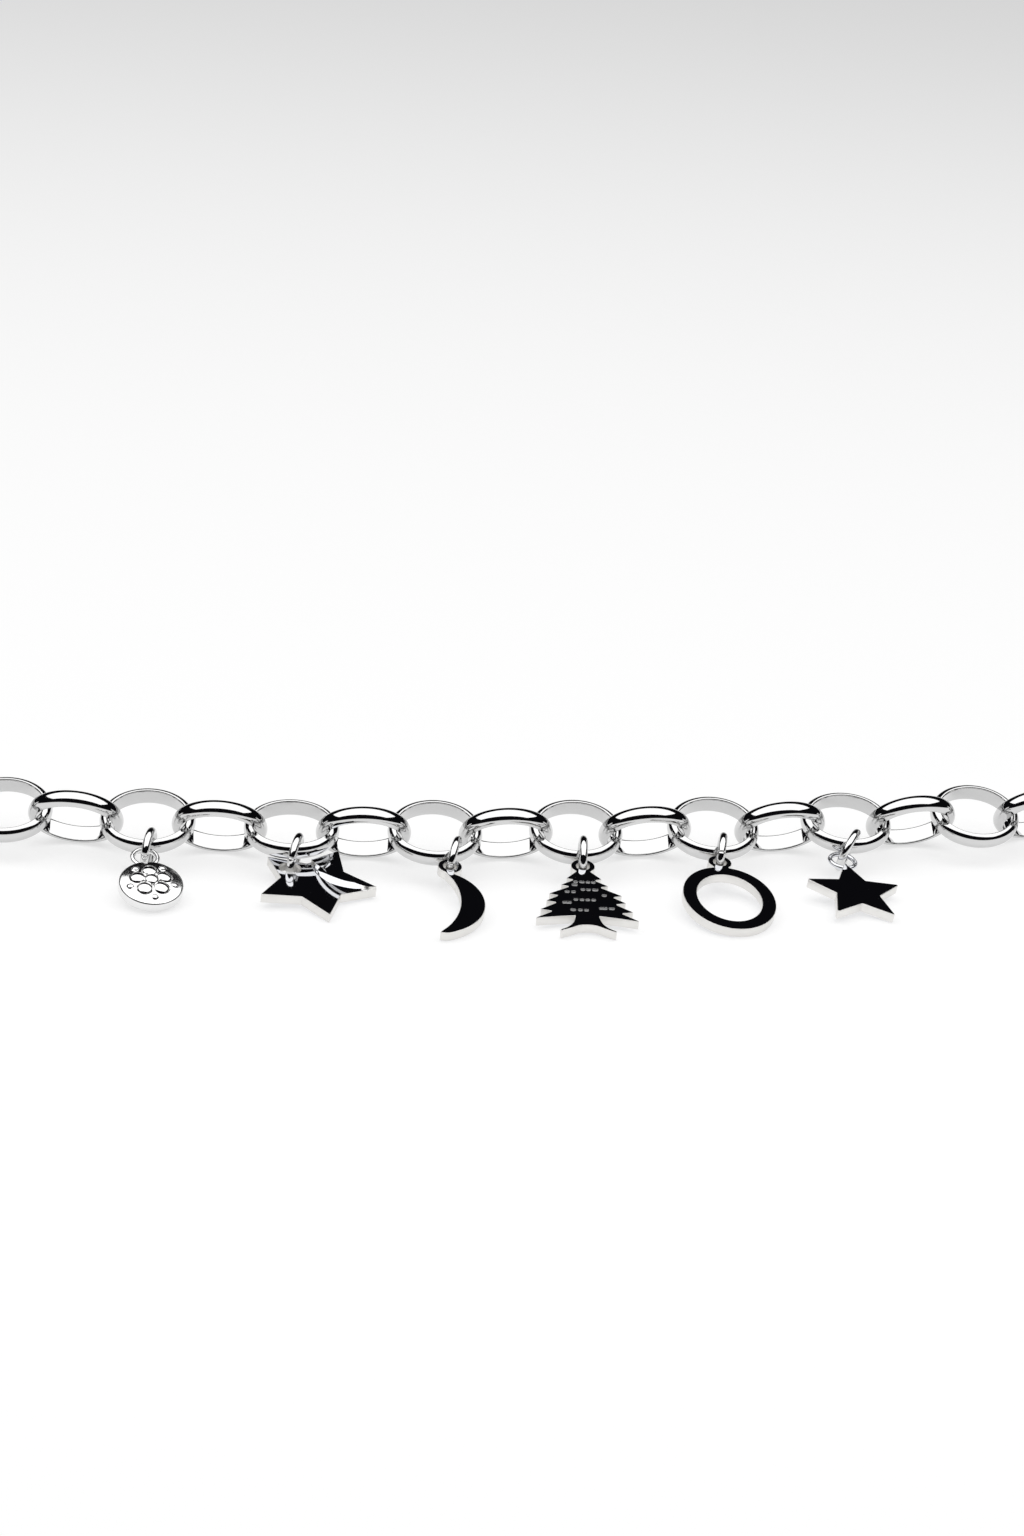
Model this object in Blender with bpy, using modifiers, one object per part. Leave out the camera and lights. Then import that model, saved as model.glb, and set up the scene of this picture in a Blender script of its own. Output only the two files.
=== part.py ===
"""A steel charm bracelet: a chain of domed oval links laid open on a flat surface, with six lying charms.

The chain runs along +X and the charms lie towards -Y. Lengths are in metres and angles in degrees, and
+Z is up. Flat links and standing links take turns. Each charm hangs by a jump ring on the near bar of a flat link.
"""

import math
from dataclasses import dataclass

import bmesh
import bpy
from mathutils import Matrix, Vector

MM = 0.001

# Chain: domed oval links, flat on the inside
LINK_LENGTH = 10.0 * MM
LINK_WIDTH = 8.7 * MM
LINK_WALL = 0.9 * MM
LINK_BAND = 2.0 * MM
LINK_EDGE_ROUNDING = 0.25 * MM
LINK_SLACK = 0.7 * MM
LINKS_EACH_SIDE = 11
FLAT_LINK_TILT = 21.0
STANDING_LINK_TILT = 55.5
FLAT_LINK_LIFT = 0.1 * MM
# Flat links that a charm below them holds flatter, by their number from the middle one
EASED_LINK_TILTS = {-3: 13.5, 5: 17.5}

# Route of the chain over the surface, chosen by hand, from the clasp's end to the free end
CHAIN_ROUTE = [
    (-95.0 * MM, 1.5 * MM),
    (-70.0 * MM, -1.2 * MM),
    (-45.0 * MM, -2.9 * MM),
    (-20.0 * MM, -2.3 * MM),
    (0.0 * MM, 0.3 * MM),
    (20.0 * MM, 4.4 * MM),
    (45.0 * MM, 11.1 * MM),
    (70.0 * MM, 18.6 * MM),
    (95.0 * MM, 26.0 * MM),
]

# Jump rings
RING_OUTER = 5.0 * MM
RING_WIRE = 0.85 * MM
FLOOR_PLAY = 0.02 * MM
STEEPEST_REST = 60.0
REST_HALVINGS = 40

# Flat charms and their eyelets
PLATE_THICKNESS = 1.0 * MM
EYELET_PLAY = 0.27 * MM
EYELET_RIM = 0.55 * MM
EYELET_ARC_STEP = 30.0
NECK_WIDTH = 1.5 * MM

# Large star, pierced in one arm, with a round-edged part of its face raised
STAR_TIP_RADIUS = 6.45 * MM
STAR_NOTCH_RADIUS = 3.5 * MM
STAR_HOLE_FROM_CENTRE = 3.35 * MM
STAR_PIERCED_ARM = 145.4
STAR_HOLE_PLAY = 0.7 * MM
STEP_HEIGHT = 0.3 * MM
STEP_RADIUS = 4.7 * MM
STEP_CENTRE = (3.9 * MM, 4.1 * MM)

# Crescent
MOON_OUTER_RADIUS = 5.7 * MM
MOON_INNER_RADIUS = 8.6 * MM
MOON_CENTRES_APART = 5.4 * MM
MOON_TIP_BLUNTING = 10.0

# Layered tree
TREE_HEIGHT = 10.4 * MM
TREE_HALF_WIDTH = 5.5 * MM
TREE_TIERS = [
    # tip_out and notch_out: shares of the half width; tip_down and notch_down: shares of the height
    dict(tip_out=0.34, tip_down=0.115, notch_out=0.20, notch_down=0.137),
    dict(tip_out=0.46, tip_down=0.230, notch_out=0.29, notch_down=0.254),
    dict(tip_out=0.70, tip_down=0.390, notch_out=0.51, notch_down=0.416),
    dict(tip_out=0.76, tip_down=0.510, notch_out=0.55, notch_down=0.536),
    dict(tip_out=0.88, tip_down=0.660, notch_out=0.64, notch_down=0.684),
]
TREE_SKIRT = [
    # out: share of the half width; down: share of the height
    dict(out=1.00, down=0.815),
    dict(out=0.60, down=0.775),
]
TREE_NECK_OVERLAP = 0.11 * MM
TREE_TRUNK_WIDTH = 2.4 * MM
TREE_TRUNK_TOP = 0.745
TREE_FOOT_WIDTH = 5.8 * MM
TREE_FOOT_HEIGHT = 2.2 * MM
TREE_FOOT = [
    # out: share of the foot's width; up: share of its height
    dict(out=0.27, up=0.62),
    dict(out=0.36, up=0.32),
    dict(out=0.50, up=0.08),
    dict(out=0.47, up=0.00),
    dict(out=0.30, up=0.22),
    dict(out=0.14, up=0.45),
]

# Open oval hoop
HOOP_LENGTH = 11.2 * MM
HOOP_WIDTH = 9.7 * MM
HOOP_BAND = 1.45 * MM

# Small star with a wire eyelet
SMALL_STAR_TIP_RADIUS = 5.4 * MM
SMALL_STAR_NOTCH_RADIUS = 2.5 * MM
SMALL_STAR_THICKNESS = 1.0 * MM
SMALL_STAR_TIP_ROUNDING = 0.25 * MM

# Cast round charm with a wire eyelet
DISC_DIAMETER = 6.6 * MM
DISC_THICKNESS = 1.3 * MM
DISC_EDGE_ROUNDING = 0.25 * MM
DISC_RELIEF = [
    # A blossom in rings of like bosses: its heart, its petals and a bead between each two petals
    # out and radius: shares of the disc's radius; height: share of its thickness; turn: of the first boss
    dict(count=1, out=0.00, radius=0.24, height=0.32, turn=90.0),
    dict(count=5, out=0.44, radius=0.25, height=0.25, turn=90.0),
    dict(count=5, out=0.72, radius=0.11, height=0.15, turn=54.0),
]
WIRE_EYELET_OUTER = 3.0 * MM
WIRE_EYELET_WIRE = 0.6 * MM
WIRE_EYELET_OVERLAP = 0.35 * MM

# Clasp: one plain pear-shaped hook, shown shut
CLASP_LENGTH = 13.0 * MM
CLASP_WIDTH = 8.0 * MM
CLASP_THICKNESS = 2.4 * MM
CLASP_SLOT_LENGTH = 5.4 * MM
CLASP_SLOT_WIDTH = 3.6 * MM
CLASP_EYE_PLAY = 0.5 * MM
CLASP_EYE_RIM = 0.6 * MM
CLASP_EYE_THICKNESS = 0.9 * MM
CLASP_RING_PULL = 0.35 * MM

# Facets
LINK_SEGMENTS = 16
RING_SEGMENTS = 14
WIRE_SIDES = 6
DOME_SHOULDER = 42.0
HOLE_SEGMENTS = 12
SLOT_SEGMENTS = 20
HOOP_SEGMENTS = 28
DISC_SEGMENTS = 28
STEP_SEGMENTS = 48
BOSS_SEGMENTS = 12
BOSS_RINGS = 8
ARC_STEP = 15.0
SHARP_EDGE = 50.0
WIRE_SHARP_EDGE = 80.0

# Finish
LINK_ROUGHNESS = 0.06
RING_ROUGHNESS = 0.08
CLASP_ROUGHNESS = 0.12
STEEL_COLOUR = (0.62, 0.62, 0.63, 1.0)


@dataclass
class CharmPlace:
    """Where a charm hangs: its link, the ring's place on it and how ring and charm are turned.

    The ring's centre lies the shift along the link from its middle, and the pull nearer than its bar.
    """

    name: str
    link: int
    shift: float
    pull: float
    ring_turn: float
    ring_lean: float
    ring_drop: float
    turn: float
    roll: float
    roughness: float


# The middle link is number 0, and links count up towards +X
CHARM_PLACES = [
    CharmPlace("round_charm", -5, 0.7 * MM, 0.6 * MM, -4.0, 4.0, -6.0, 18.0, 3.0, 0.25),
    CharmPlace("star_charm", -3, 0.5 * MM, -0.2 * MM, -7.0, 7.0, 30.0, 0.0, 4.0, 0.06),
    CharmPlace("crescent_charm", -1, 1.7 * MM, 0.1 * MM, -7.0, 7.0, 8.0, 0.5, 3.0, 0.06),
    CharmPlace("tree_charm", 1, 0.1 * MM, 0.0 * MM, 2.0, 0.0, 8.0, 4.0, 0.0, 0.12),
    CharmPlace("hoop_charm", 3, -0.1 * MM, 0.0 * MM, -4.0, 4.0, 8.0, 8.0, 3.0, 0.06),
    CharmPlace("small_star_charm", 5, -0.9 * MM, -0.1 * MM, -20.0, 17.0, 12.0, 10.5, 5.0, 0.1),
]


def clear_scene():
    """Removes every object of the open file."""
    for item in list(bpy.data.objects):
        bpy.data.objects.remove(item, do_unlink=True)


def new_collection(name):
    """Returns a new collection linked to the scene."""
    collection = bpy.data.collections.new(name)
    bpy.context.scene.collection.children.link(collection)
    return collection


def steel(name, roughness):
    """Returns a polished steel material."""
    material = bpy.data.materials.new(name)
    material.use_nodes = True
    shader = material.node_tree.nodes["Principled BSDF"]
    shader.inputs["Base Color"].default_value = STEEL_COLOUR
    shader.inputs["Metallic"].default_value = 1.0
    shader.inputs["Roughness"].default_value = roughness
    return material


def circle(radius, count, centre=(0.0, 0.0)):
    """Returns count points evenly round a circle, counter-clockwise."""
    return ellipse(radius, radius, count, centre)


def ellipse(half_x, half_y, count, centre=(0.0, 0.0)):
    """Returns count points at even parameter steps round an ellipse, counter-clockwise."""
    steps = [2.0 * math.pi * index / count for index in range(count)]
    return [(centre[0] + half_x * math.cos(a), centre[1] + half_y * math.sin(a)) for a in steps]


def arc(centre, radius, start, end, step=ARC_STEP):
    """Returns points along a circular arc between two angles, both ends included."""
    count = max(2, math.ceil(abs(end - start) / step) + 1)
    angles = [math.radians(start + (end - start) * index / (count - 1)) for index in range(count)]
    return [(centre[0] + radius * math.cos(a), centre[1] + radius * math.sin(a)) for a in angles]


def star_points(tip_radius, notch_radius, centre=(0.0, 0.0), turn=0.0):
    """Returns the ten corners of a five-pointed star, counter-clockwise from the tip at +Y."""
    points = []
    for index in range(10):
        radius = tip_radius if index % 2 == 0 else notch_radius
        angle = math.radians(90.0 + turn + 36.0 * index)
        points.append((centre[0] + radius * math.cos(angle), centre[1] + radius * math.sin(angle)))
    return points


def outline_curve(name, outlines, bottom, top):
    """Returns a filled flat curve between two heights; later outlines inside the first are holes."""
    data = bpy.data.curves.new(name, "CURVE")
    data.dimensions = "2D"
    data.fill_mode = "BOTH"
    data.extrude = 0.5 * (top - bottom)
    for outline in outlines:
        spline = data.splines.new("POLY")
        spline.points.add(len(outline) - 1)
        for point, (x, y) in zip(spline.points, outline):
            point.co = (x, y, 0.0, 1.0)
        spline.use_cyclic_u = True
    item = bpy.data.objects.new(name, data)
    item.location.z = 0.5 * (top + bottom)
    return item


def mesh_from_curve(item, name):
    """Turns a curve object into a welded mesh, with the object's placement in it, and removes the curve."""
    bpy.context.scene.collection.objects.link(item)
    bpy.context.view_layer.update()
    evaluated = item.evaluated_get(bpy.context.evaluated_depsgraph_get())
    mesh = bpy.data.meshes.new_from_object(evaluated)
    mesh.name = name
    mesh.transform(item.matrix_world)
    bpy.data.objects.remove(item, do_unlink=True)
    shape = bmesh.new()
    shape.from_mesh(mesh)
    bmesh.ops.remove_doubles(shape, verts=shape.verts, dist=0.001 * MM)
    bmesh.ops.recalc_face_normals(shape, faces=shape.faces)
    shape.to_mesh(mesh)
    shape.free()
    return mesh


def prism(name, outlines, bottom, top):
    """Returns the mesh of a flat outline, with its holes, between two heights."""
    return mesh_from_curve(outline_curve(name, outlines, bottom, top), name)


def smooth(mesh, angle):
    """Shades a mesh smooth, with edges sharper than the angle kept."""
    mesh.shade_smooth()
    mesh.set_sharp_from_angle(angle=math.radians(angle))


def torus(name, outer, wire, segments, sides):
    """Returns the mesh of a round wire ring, flat in its own XY plane."""
    bpy.ops.mesh.primitive_torus_add(
        major_radius=0.5 * (outer - wire),
        minor_radius=0.5 * wire,
        major_segments=segments,
        minor_segments=sides,
    )
    item = bpy.context.object
    mesh = item.data
    mesh.name = name
    bpy.data.objects.remove(item, do_unlink=True)
    smooth(mesh, WIRE_SHARP_EDGE)
    return mesh


def link_mesh():
    """Returns a link: a section flat on the inside and domed outside, carried round an oval."""
    profile = bpy.data.curves.new("link_profile", "CURVE")
    profile.dimensions = "2D"
    spline = profile.splines.new("POLY")
    section = link_section()
    spline.points.add(len(section) - 1)
    for point, (x, y) in zip(spline.points, section):
        point.co = (x, y, 0.0, 1.0)
    spline.use_cyclic_u = True
    profile_item = bpy.data.objects.new("link_profile", profile)
    bpy.context.scene.collection.objects.link(profile_item)

    path = bpy.data.curves.new("link_path", "CURVE")
    path.dimensions = "3D"
    path.twist_mode = "Z_UP"
    route = path.splines.new("POLY")
    corners = ellipse(0.5 * LINK_LENGTH - LINK_WALL, 0.5 * LINK_WIDTH - LINK_WALL, LINK_SEGMENTS)
    route.points.add(len(corners) - 1)
    for point, (x, y) in zip(route.points, corners):
        point.co = (x, y, 0.0, 1.0)
    route.use_cyclic_u = True
    path.bevel_mode = "OBJECT"
    path.bevel_object = profile_item
    mesh = mesh_from_curve(bpy.data.objects.new("link_path", path), "link")
    bpy.data.objects.remove(profile_item, do_unlink=True)
    smooth(mesh, SHARP_EDGE)
    return mesh


def link_section():
    """Returns a link's section: the flat inner face at zero, then the rounded edges and the dome."""
    half = 0.5 * LINK_BAND
    upper = [(0.0, half - LINK_EDGE_ROUNDING), (0.8 * LINK_EDGE_ROUNDING, half)]
    turn = math.radians(DOME_SHOULDER)
    upper.append((LINK_WALL * math.cos(turn), half * math.sin(turn)))
    lower = [(x, -y) for x, y in upper]
    return lower + [(LINK_WALL, 0.0)] + list(reversed(upper))


def hole_radius(play=EYELET_PLAY):
    """Returns the radius of a hole that lets a jump ring's wire through with play."""
    return 0.5 * RING_WIRE + play


def tab_radius():
    """Returns the outer radius of a flat charm's eyelet."""
    return hole_radius() + EYELET_RIM


def with_eyelet(body):
    """Closes an open outline with a round eyelet on the origin.

    The body's points run clockwise from the right of the neck, down and round, to its left.
    """
    neck = math.degrees(math.asin(0.5 * NECK_WIDTH / tab_radius()))
    return body + arc((0.0, 0.0), tab_radius(), 270.0 - neck, -90.0 + neck, EYELET_ARC_STEP)


def eyelet_hole(play=EYELET_PLAY):
    """Returns the outline of a flat charm's eyelet hole."""
    return circle(hole_radius(play), HOLE_SEGMENTS)


def star_centre():
    """Returns the large star's centre, seen from the hole in its pierced arm."""
    arm = math.radians(STAR_PIERCED_ARM)
    return (-STAR_HOLE_FROM_CENTRE * math.cos(arm), -STAR_HOLE_FROM_CENTRE * math.sin(arm))


def star_charm_mesh():
    """Returns the large star with its hole on the origin, as thick all over as at its raised part."""
    outline = star_points(STAR_TIP_RADIUS, STAR_NOTCH_RADIUS, star_centre(), STAR_PIERCED_ARM - 90.0)
    half = 0.5 * PLATE_THICKNESS
    return prism("star_charm", [outline, eyelet_hole(STAR_HOLE_PLAY)], -half, half + STEP_HEIGHT)


def step_cutter_mesh():
    """Returns the cutter that lowers the large star's face everywhere outside a circle."""
    centre = star_centre()
    reach = 2.0 * STAR_TIP_RADIUS
    corners = ((-1, -1), (1, -1), (1, 1), (-1, 1))
    frame = [(centre[0] + x * reach, centre[1] + y * reach) for x, y in corners]
    rim = circle(STEP_RADIUS, STEP_SEGMENTS, (centre[0] + STEP_CENTRE[0], centre[1] + STEP_CENTRE[1]))
    face = 0.5 * PLATE_THICKNESS
    return prism("star_step", [frame, rim], face, face + 3.0 * STEP_HEIGHT)


def crescent_charm_mesh():
    """Returns the crescent, open to the left, with its upper horn joined to the eyelet."""
    apart = MOON_CENTRES_APART
    crossing = (apart**2 + MOON_OUTER_RADIUS**2 - MOON_INNER_RADIUS**2) / (2.0 * apart)
    outer_end = math.degrees(math.acos(-crossing / MOON_OUTER_RADIUS)) - MOON_TIP_BLUNTING
    horn_height = MOON_OUTER_RADIUS * math.sin(math.radians(outer_end))
    inner_end = math.degrees(math.asin(horn_height / MOON_INNER_RADIUS))
    centre = (0.0, -tab_radius() - horn_height)
    inner_centre = (centre[0] - apart, centre[1])
    outer = arc(centre, MOON_OUTER_RADIUS, outer_end, -outer_end)
    inner = arc(inner_centre, MOON_INNER_RADIUS, -inner_end, inner_end)
    shift = 0.5 * (outer[0][0] + inner[-1][0])
    body = [(x - shift, y) for x, y in outer + inner]
    outlines = [with_eyelet(body), eyelet_hole()]
    return prism("crescent_charm", outlines, -0.5 * PLATE_THICKNESS, 0.5 * PLATE_THICKNESS)


def tree_charm_mesh():
    """Returns the layered tree: tiers that widen downwards, a trunk and a spread foot with a low arch."""
    top = -tab_radius() + TREE_NECK_OVERLAP
    right = []
    for tier in TREE_TIERS:
        right.append((tier["tip_out"] * TREE_HALF_WIDTH, top - tier["tip_down"] * TREE_HEIGHT))
        right.append((tier["notch_out"] * TREE_HALF_WIDTH, top - tier["notch_down"] * TREE_HEIGHT))
    right += [(row["out"] * TREE_HALF_WIDTH, top - row["down"] * TREE_HEIGHT) for row in TREE_SKIRT]
    foot = top - TREE_HEIGHT
    right.append((0.5 * TREE_TRUNK_WIDTH, top - TREE_TRUNK_TOP * TREE_HEIGHT))
    right += [(row["out"] * TREE_FOOT_WIDTH, foot + row["up"] * TREE_FOOT_HEIGHT) for row in TREE_FOOT]
    left = [(-x, y) for x, y in reversed(right)]
    outlines = [with_eyelet(right + left), eyelet_hole()]
    return prism("tree_charm", outlines, -0.5 * PLATE_THICKNESS, 0.5 * PLATE_THICKNESS)


def hoop_charm_mesh():
    """Returns the open oval hoop with its eyelet."""
    half_x = 0.5 * HOOP_WIDTH
    half_y = 0.5 * HOOP_LENGTH
    start = math.degrees(math.acos(0.5 * NECK_WIDTH / half_x))
    neck_height = half_y * math.sin(math.radians(start))
    centre_y = -math.sqrt(tab_radius() ** 2 - (0.5 * NECK_WIDTH) ** 2) - neck_height
    sweep = 2.0 * start + 180.0
    turns = [math.radians(start - sweep * index / HOOP_SEGMENTS) for index in range(1, HOOP_SEGMENTS)]
    body = [(half_x * math.cos(a), centre_y + half_y * math.sin(a)) for a in turns]
    opening = ellipse(half_x - HOOP_BAND, half_y - HOOP_BAND, HOOP_SEGMENTS, (0.0, centre_y))
    outlines = [with_eyelet(body), eyelet_hole(), opening]
    return prism("hoop_charm", outlines, -0.5 * PLATE_THICKNESS, 0.5 * PLATE_THICKNESS)


def wire_eyelet_mesh():
    """Returns the wire eyelet of the cast charms, on the origin."""
    return torus("wire_eyelet", WIRE_EYELET_OUTER, WIRE_EYELET_WIRE, RING_SEGMENTS, WIRE_SIDES)


def small_star_mesh():
    """Returns the small star without its eyelet, with slightly rounded tips, below the origin."""
    centre = (0.0, below_wire_eyelet(SMALL_STAR_TIP_RADIUS))
    corners = star_points(SMALL_STAR_TIP_RADIUS, SMALL_STAR_NOTCH_RADIUS, centre)
    outline = []
    for index, corner in enumerate(corners):
        if index % 2:
            outline.append(corner)
            continue
        before = Vector(corners[index - 1])
        after = Vector(corners[(index + 1) % len(corners)])
        tip = Vector(corner)
        for other in (before, after):
            outline.append(tuple(tip + (other - tip).normalized() * SMALL_STAR_TIP_ROUNDING))
    half = 0.5 * SMALL_STAR_THICKNESS
    return prism("small_star_charm", [outline], -half, half)


def below_wire_eyelet(radius):
    """Returns the height of a cast charm's centre, below the wire eyelet on the origin."""
    return -0.5 * WIRE_EYELET_OUTER + WIRE_EYELET_OVERLAP - radius


def disc_mesh():
    """Returns the round charm's disc below the origin, without relief or eyelet."""
    radius = 0.5 * DISC_DIAMETER
    shape = bmesh.new()
    bmesh.ops.create_cone(
        shape,
        cap_ends=True,
        segments=DISC_SEGMENTS,
        radius1=radius,
        radius2=radius,
        depth=DISC_THICKNESS,
        matrix=Matrix.Translation((0.0, below_wire_eyelet(radius), 0.0)),
    )
    mesh = bpy.data.meshes.new("round_charm")
    shape.to_mesh(mesh)
    shape.free()
    return mesh


def relief_mesh(row, index):
    """Returns one raised boss of the round charm: a flattened ball set into the disc's face.

    The index counts the bosses of the row's ring, counter-clockwise.
    """
    radius = 0.5 * DISC_DIAMETER
    angle = math.radians(row["turn"] + 360.0 * index / row["count"])
    out = row["out"] * radius
    along = below_wire_eyelet(radius) + out * math.sin(angle)
    place = Matrix.Translation((out * math.cos(angle), along, 0.5 * DISC_THICKNESS))
    height = row["height"] * DISC_THICKNESS
    shape = bmesh.new()
    bmesh.ops.create_uvsphere(shape, u_segments=BOSS_SEGMENTS, v_segments=BOSS_RINGS, radius=1.0)
    size = Matrix.Diagonal((row["radius"] * radius, row["radius"] * radius, height, 1.0))
    bmesh.ops.transform(shape, matrix=place @ size, verts=shape.verts)
    mesh = bpy.data.meshes.new("round_charm_boss")
    shape.to_mesh(mesh)
    shape.free()
    return mesh


def clasp_mesh():
    """Returns the clasp's body: a pear outline with a slot and an eye, its underside at zero height."""
    hole = circle(hole_radius(CLASP_EYE_PLAY), HOLE_SEGMENTS)
    eye_radius = hole_radius(CLASP_EYE_PLAY) + CLASP_EYE_RIM
    round_radius = 0.5 * CLASP_WIDTH
    centre = (0.0, -(CLASP_LENGTH - eye_radius - round_radius))
    lean = math.degrees(math.asin((round_radius - eye_radius) / -centre[1]))
    outline = arc(centre, round_radius, lean, -180.0 - lean)
    outline += arc((0.0, 0.0), eye_radius, 180.0 - lean, lean)
    slot_centre = (0.0, centre[1] + 0.25 * (CLASP_SLOT_LENGTH - CLASP_SLOT_WIDTH))
    slot = ellipse(0.5 * CLASP_SLOT_WIDTH, 0.5 * CLASP_SLOT_LENGTH, SLOT_SEGMENTS, slot_centre)
    return prism("clasp", [outline, hole, slot], 0.0, CLASP_THICKNESS)


def eye_cutter_mesh():
    """Returns the cutter that thins the clasp's eye from below."""
    reach = hole_radius(CLASP_EYE_PLAY) + CLASP_EYE_RIM + RING_WIRE
    half = 0.5 * CLASP_WIDTH
    box = [(-half, -reach), (half, -reach), (half, reach), (-half, reach)]
    return prism("clasp_eye_relief", [box], -CLASP_THICKNESS, CLASP_THICKNESS - CLASP_EYE_THICKNESS)


def route_points(count=400):
    """Returns many points along a smooth curve through the chain's route."""
    ends = [2.0 * Vector(CHAIN_ROUTE[0]) - Vector(CHAIN_ROUTE[1])]
    ends.append(2.0 * Vector(CHAIN_ROUTE[-1]) - Vector(CHAIN_ROUTE[-2]))
    knots = [ends[0]] + [Vector(point) for point in CHAIN_ROUTE] + [ends[1]]
    pieces = len(CHAIN_ROUTE) - 1
    points = []
    for index in range(count + 1):
        place = pieces * index / count
        piece = min(int(place), pieces - 1)
        t = place - piece
        a, b, c, d = knots[piece : piece + 4]
        bend = 2.0 * a - 5.0 * b + 4.0 * c - d
        swing = 3.0 * b - a - 3.0 * c + d
        points.append(b + 0.5 * ((c - a) * t + bend * t**2 + swing * t**3))
    return points


def step_along(points, start, direction, distance, count):
    """Returns count places, each the given straight distance from the one before, going one way."""
    places = []
    here = start
    index = min(range(len(points)), key=lambda i: (points[i] - start).length)
    for _ in range(count):
        index += direction
        while 0 <= index < len(points) and (points[index] - here).length < distance:
            index += direction
        if 0 <= index < len(points):
            heading = (points[index] - points[index - direction]).normalized()
            here = here + (points[index] - here).normalized() * distance
        else:
            here = here + heading * distance
        places.append(here)
    return places


def link_places():
    """Returns the centres of all links over the surface, from the clasp's end to the free end."""
    points = route_points()
    middle = points[len(points) // 2]
    pitch = LINK_LENGTH - 2.0 * LINK_WALL - LINK_SLACK
    left = step_along(points, middle, -1, pitch, LINKS_EACH_SIDE)
    right = step_along(points, middle, 1, pitch, LINKS_EACH_SIDE)
    return list(reversed(left)) + [middle] + right


def tilted(angle):
    """Returns the rotation that tilts a piece about its own X axis, from an angle in radians."""
    return Matrix.Rotation(angle, 4, "X")


def rest_height(mesh, tilt):
    """Returns the height of a tilted link's centre when its lower bar touches the surface."""
    turned = tilted(math.radians(tilt))
    return FLOOR_PLAY - min((turned @ v.co).z for v in mesh.vertices)


def angle_to_rest(mesh, placed):
    """Returns the angle, in radians, at which a piece that is let down just touches the surface.

    The function placed returns the piece's placement at an angle; a larger angle brings it lower.
    """
    low, high = 0.0, math.radians(STEEPEST_REST)
    for _ in range(REST_HALVINGS):
        angle = 0.5 * (low + high)
        matrix = placed(angle)
        if min((matrix @ v.co).z for v in mesh.vertices) > FLOOR_PLAY:
            low = angle
        else:
            high = angle
    return low


def end_link_frame(mesh, inner_frame, side):
    """Returns an end link's placement: its outer end hangs down from where its neighbour holds it.

    The side is 1 for the free end, which comes down onto the surface, and -1 for the clasp's end, which
    comes down to the middle of the clasp's jump ring.
    """
    reach = 0.5 * (LINK_LENGTH - LINK_WALL)
    hinge = inner_frame @ Matrix.Translation((-side * reach, 0.0, 0.0))
    link = Matrix.Translation((side * reach, 0.0, 0.0)) @ tilted(math.radians(FLAT_LINK_TILT))

    def placed(angle):
        return hinge @ Matrix.Rotation(side * angle, 4, "Y") @ link

    if side > 0:
        return placed(angle_to_rest(mesh, placed))
    return placed(math.asin((inner_frame.translation.z - ring_height()) / (2.0 * reach)))


def link_frames(mesh):
    """Returns each link's placement matrix by its number, 0 in the middle."""
    places = link_places()
    standing = rest_height(mesh, STANDING_LINK_TILT)
    frames = {}
    for order, place in enumerate(places):
        number = order - LINKS_EACH_SIDE
        before = places[max(order - 1, 0)]
        after = places[min(order + 1, len(places) - 1)]
        heading = math.atan2(after.y - before.y, after.x - before.x)
        is_flat = number % 2 != 0
        height = standing + FLAT_LINK_LIFT if is_flat else standing
        frame = Matrix.Translation((place.x, place.y, height)) @ Matrix.Rotation(heading, 4, "Z")
        if abs(number) == LINKS_EACH_SIDE:
            frames[number] = end_link_frame(mesh, frame, 1 if number > 0 else -1)
        else:
            tilt = EASED_LINK_TILTS.get(number, FLAT_LINK_TILT) if is_flat else -STANDING_LINK_TILT
            frames[number] = frame @ tilted(math.radians(tilt))
    return frames


def ring_height(lean=0.0):
    """Returns the height of a jump ring's centre when it stands on the surface, leaning to one side."""
    return 0.5 * (RING_OUTER - RING_WIRE) * math.cos(math.radians(lean)) + 0.5 * RING_WIRE + FLOOR_PLAY


def near_bar_point(frame, shift):
    """Returns the middle of a link's near bar, at a distance along the link from its centre."""
    half_length = 0.5 * (LINK_LENGTH - LINK_WALL)
    half_width = 0.5 * (LINK_WIDTH - LINK_WALL)
    across = -half_width * math.sqrt(1.0 - (shift / half_length) ** 2)
    return frame @ Vector((shift, across, 0.0))


def new_part(name, mesh, material, collection, parent, matrix):
    """Returns a new object of the bracelet, placed under its parent."""
    item = bpy.data.objects.new(name, mesh)
    if not mesh.materials:
        mesh.materials.append(material)
    collection.objects.link(item)
    item.parent = parent
    item.matrix_basis = matrix
    return item


def add_operand(part, mesh, operation, cutters):
    """Joins a mesh to a part, or cuts it from the part, with a Boolean; the operand moves with the part."""
    operand = bpy.data.objects.new(mesh.name, mesh)
    cutters.objects.link(operand)
    operand.parent = part
    operand.hide_render = True
    operand.display_type = "WIRE"
    modifier = part.modifiers.new(mesh.name, "BOOLEAN")
    modifier.operation = operation
    modifier.object = operand
    modifier.solver = "EXACT"


def round_edges(part, width):
    """Rounds a part's sharp edges."""
    bevel = part.modifiers.new("rounded_edges", "BEVEL")
    bevel.width = width
    bevel.segments = 2
    bevel.limit_method = "ANGLE"
    bevel.angle_limit = math.radians(50.0)


def finish_charm(part, cutters):
    """Adds what a charm's flat outline doesn't hold: its step, relief or wire eyelet."""
    if part.name == "star_charm":
        add_operand(part, step_cutter_mesh(), "DIFFERENCE", cutters)
    if part.name == "round_charm":
        round_edges(part, DISC_EDGE_ROUNDING)
        for row in DISC_RELIEF:
            for index in range(row["count"]):
                add_operand(part, relief_mesh(row, index), "UNION", cutters)
    if part.name in ("round_charm", "small_star_charm"):
        add_operand(part, wire_eyelet_mesh(), "UNION", cutters)


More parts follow.
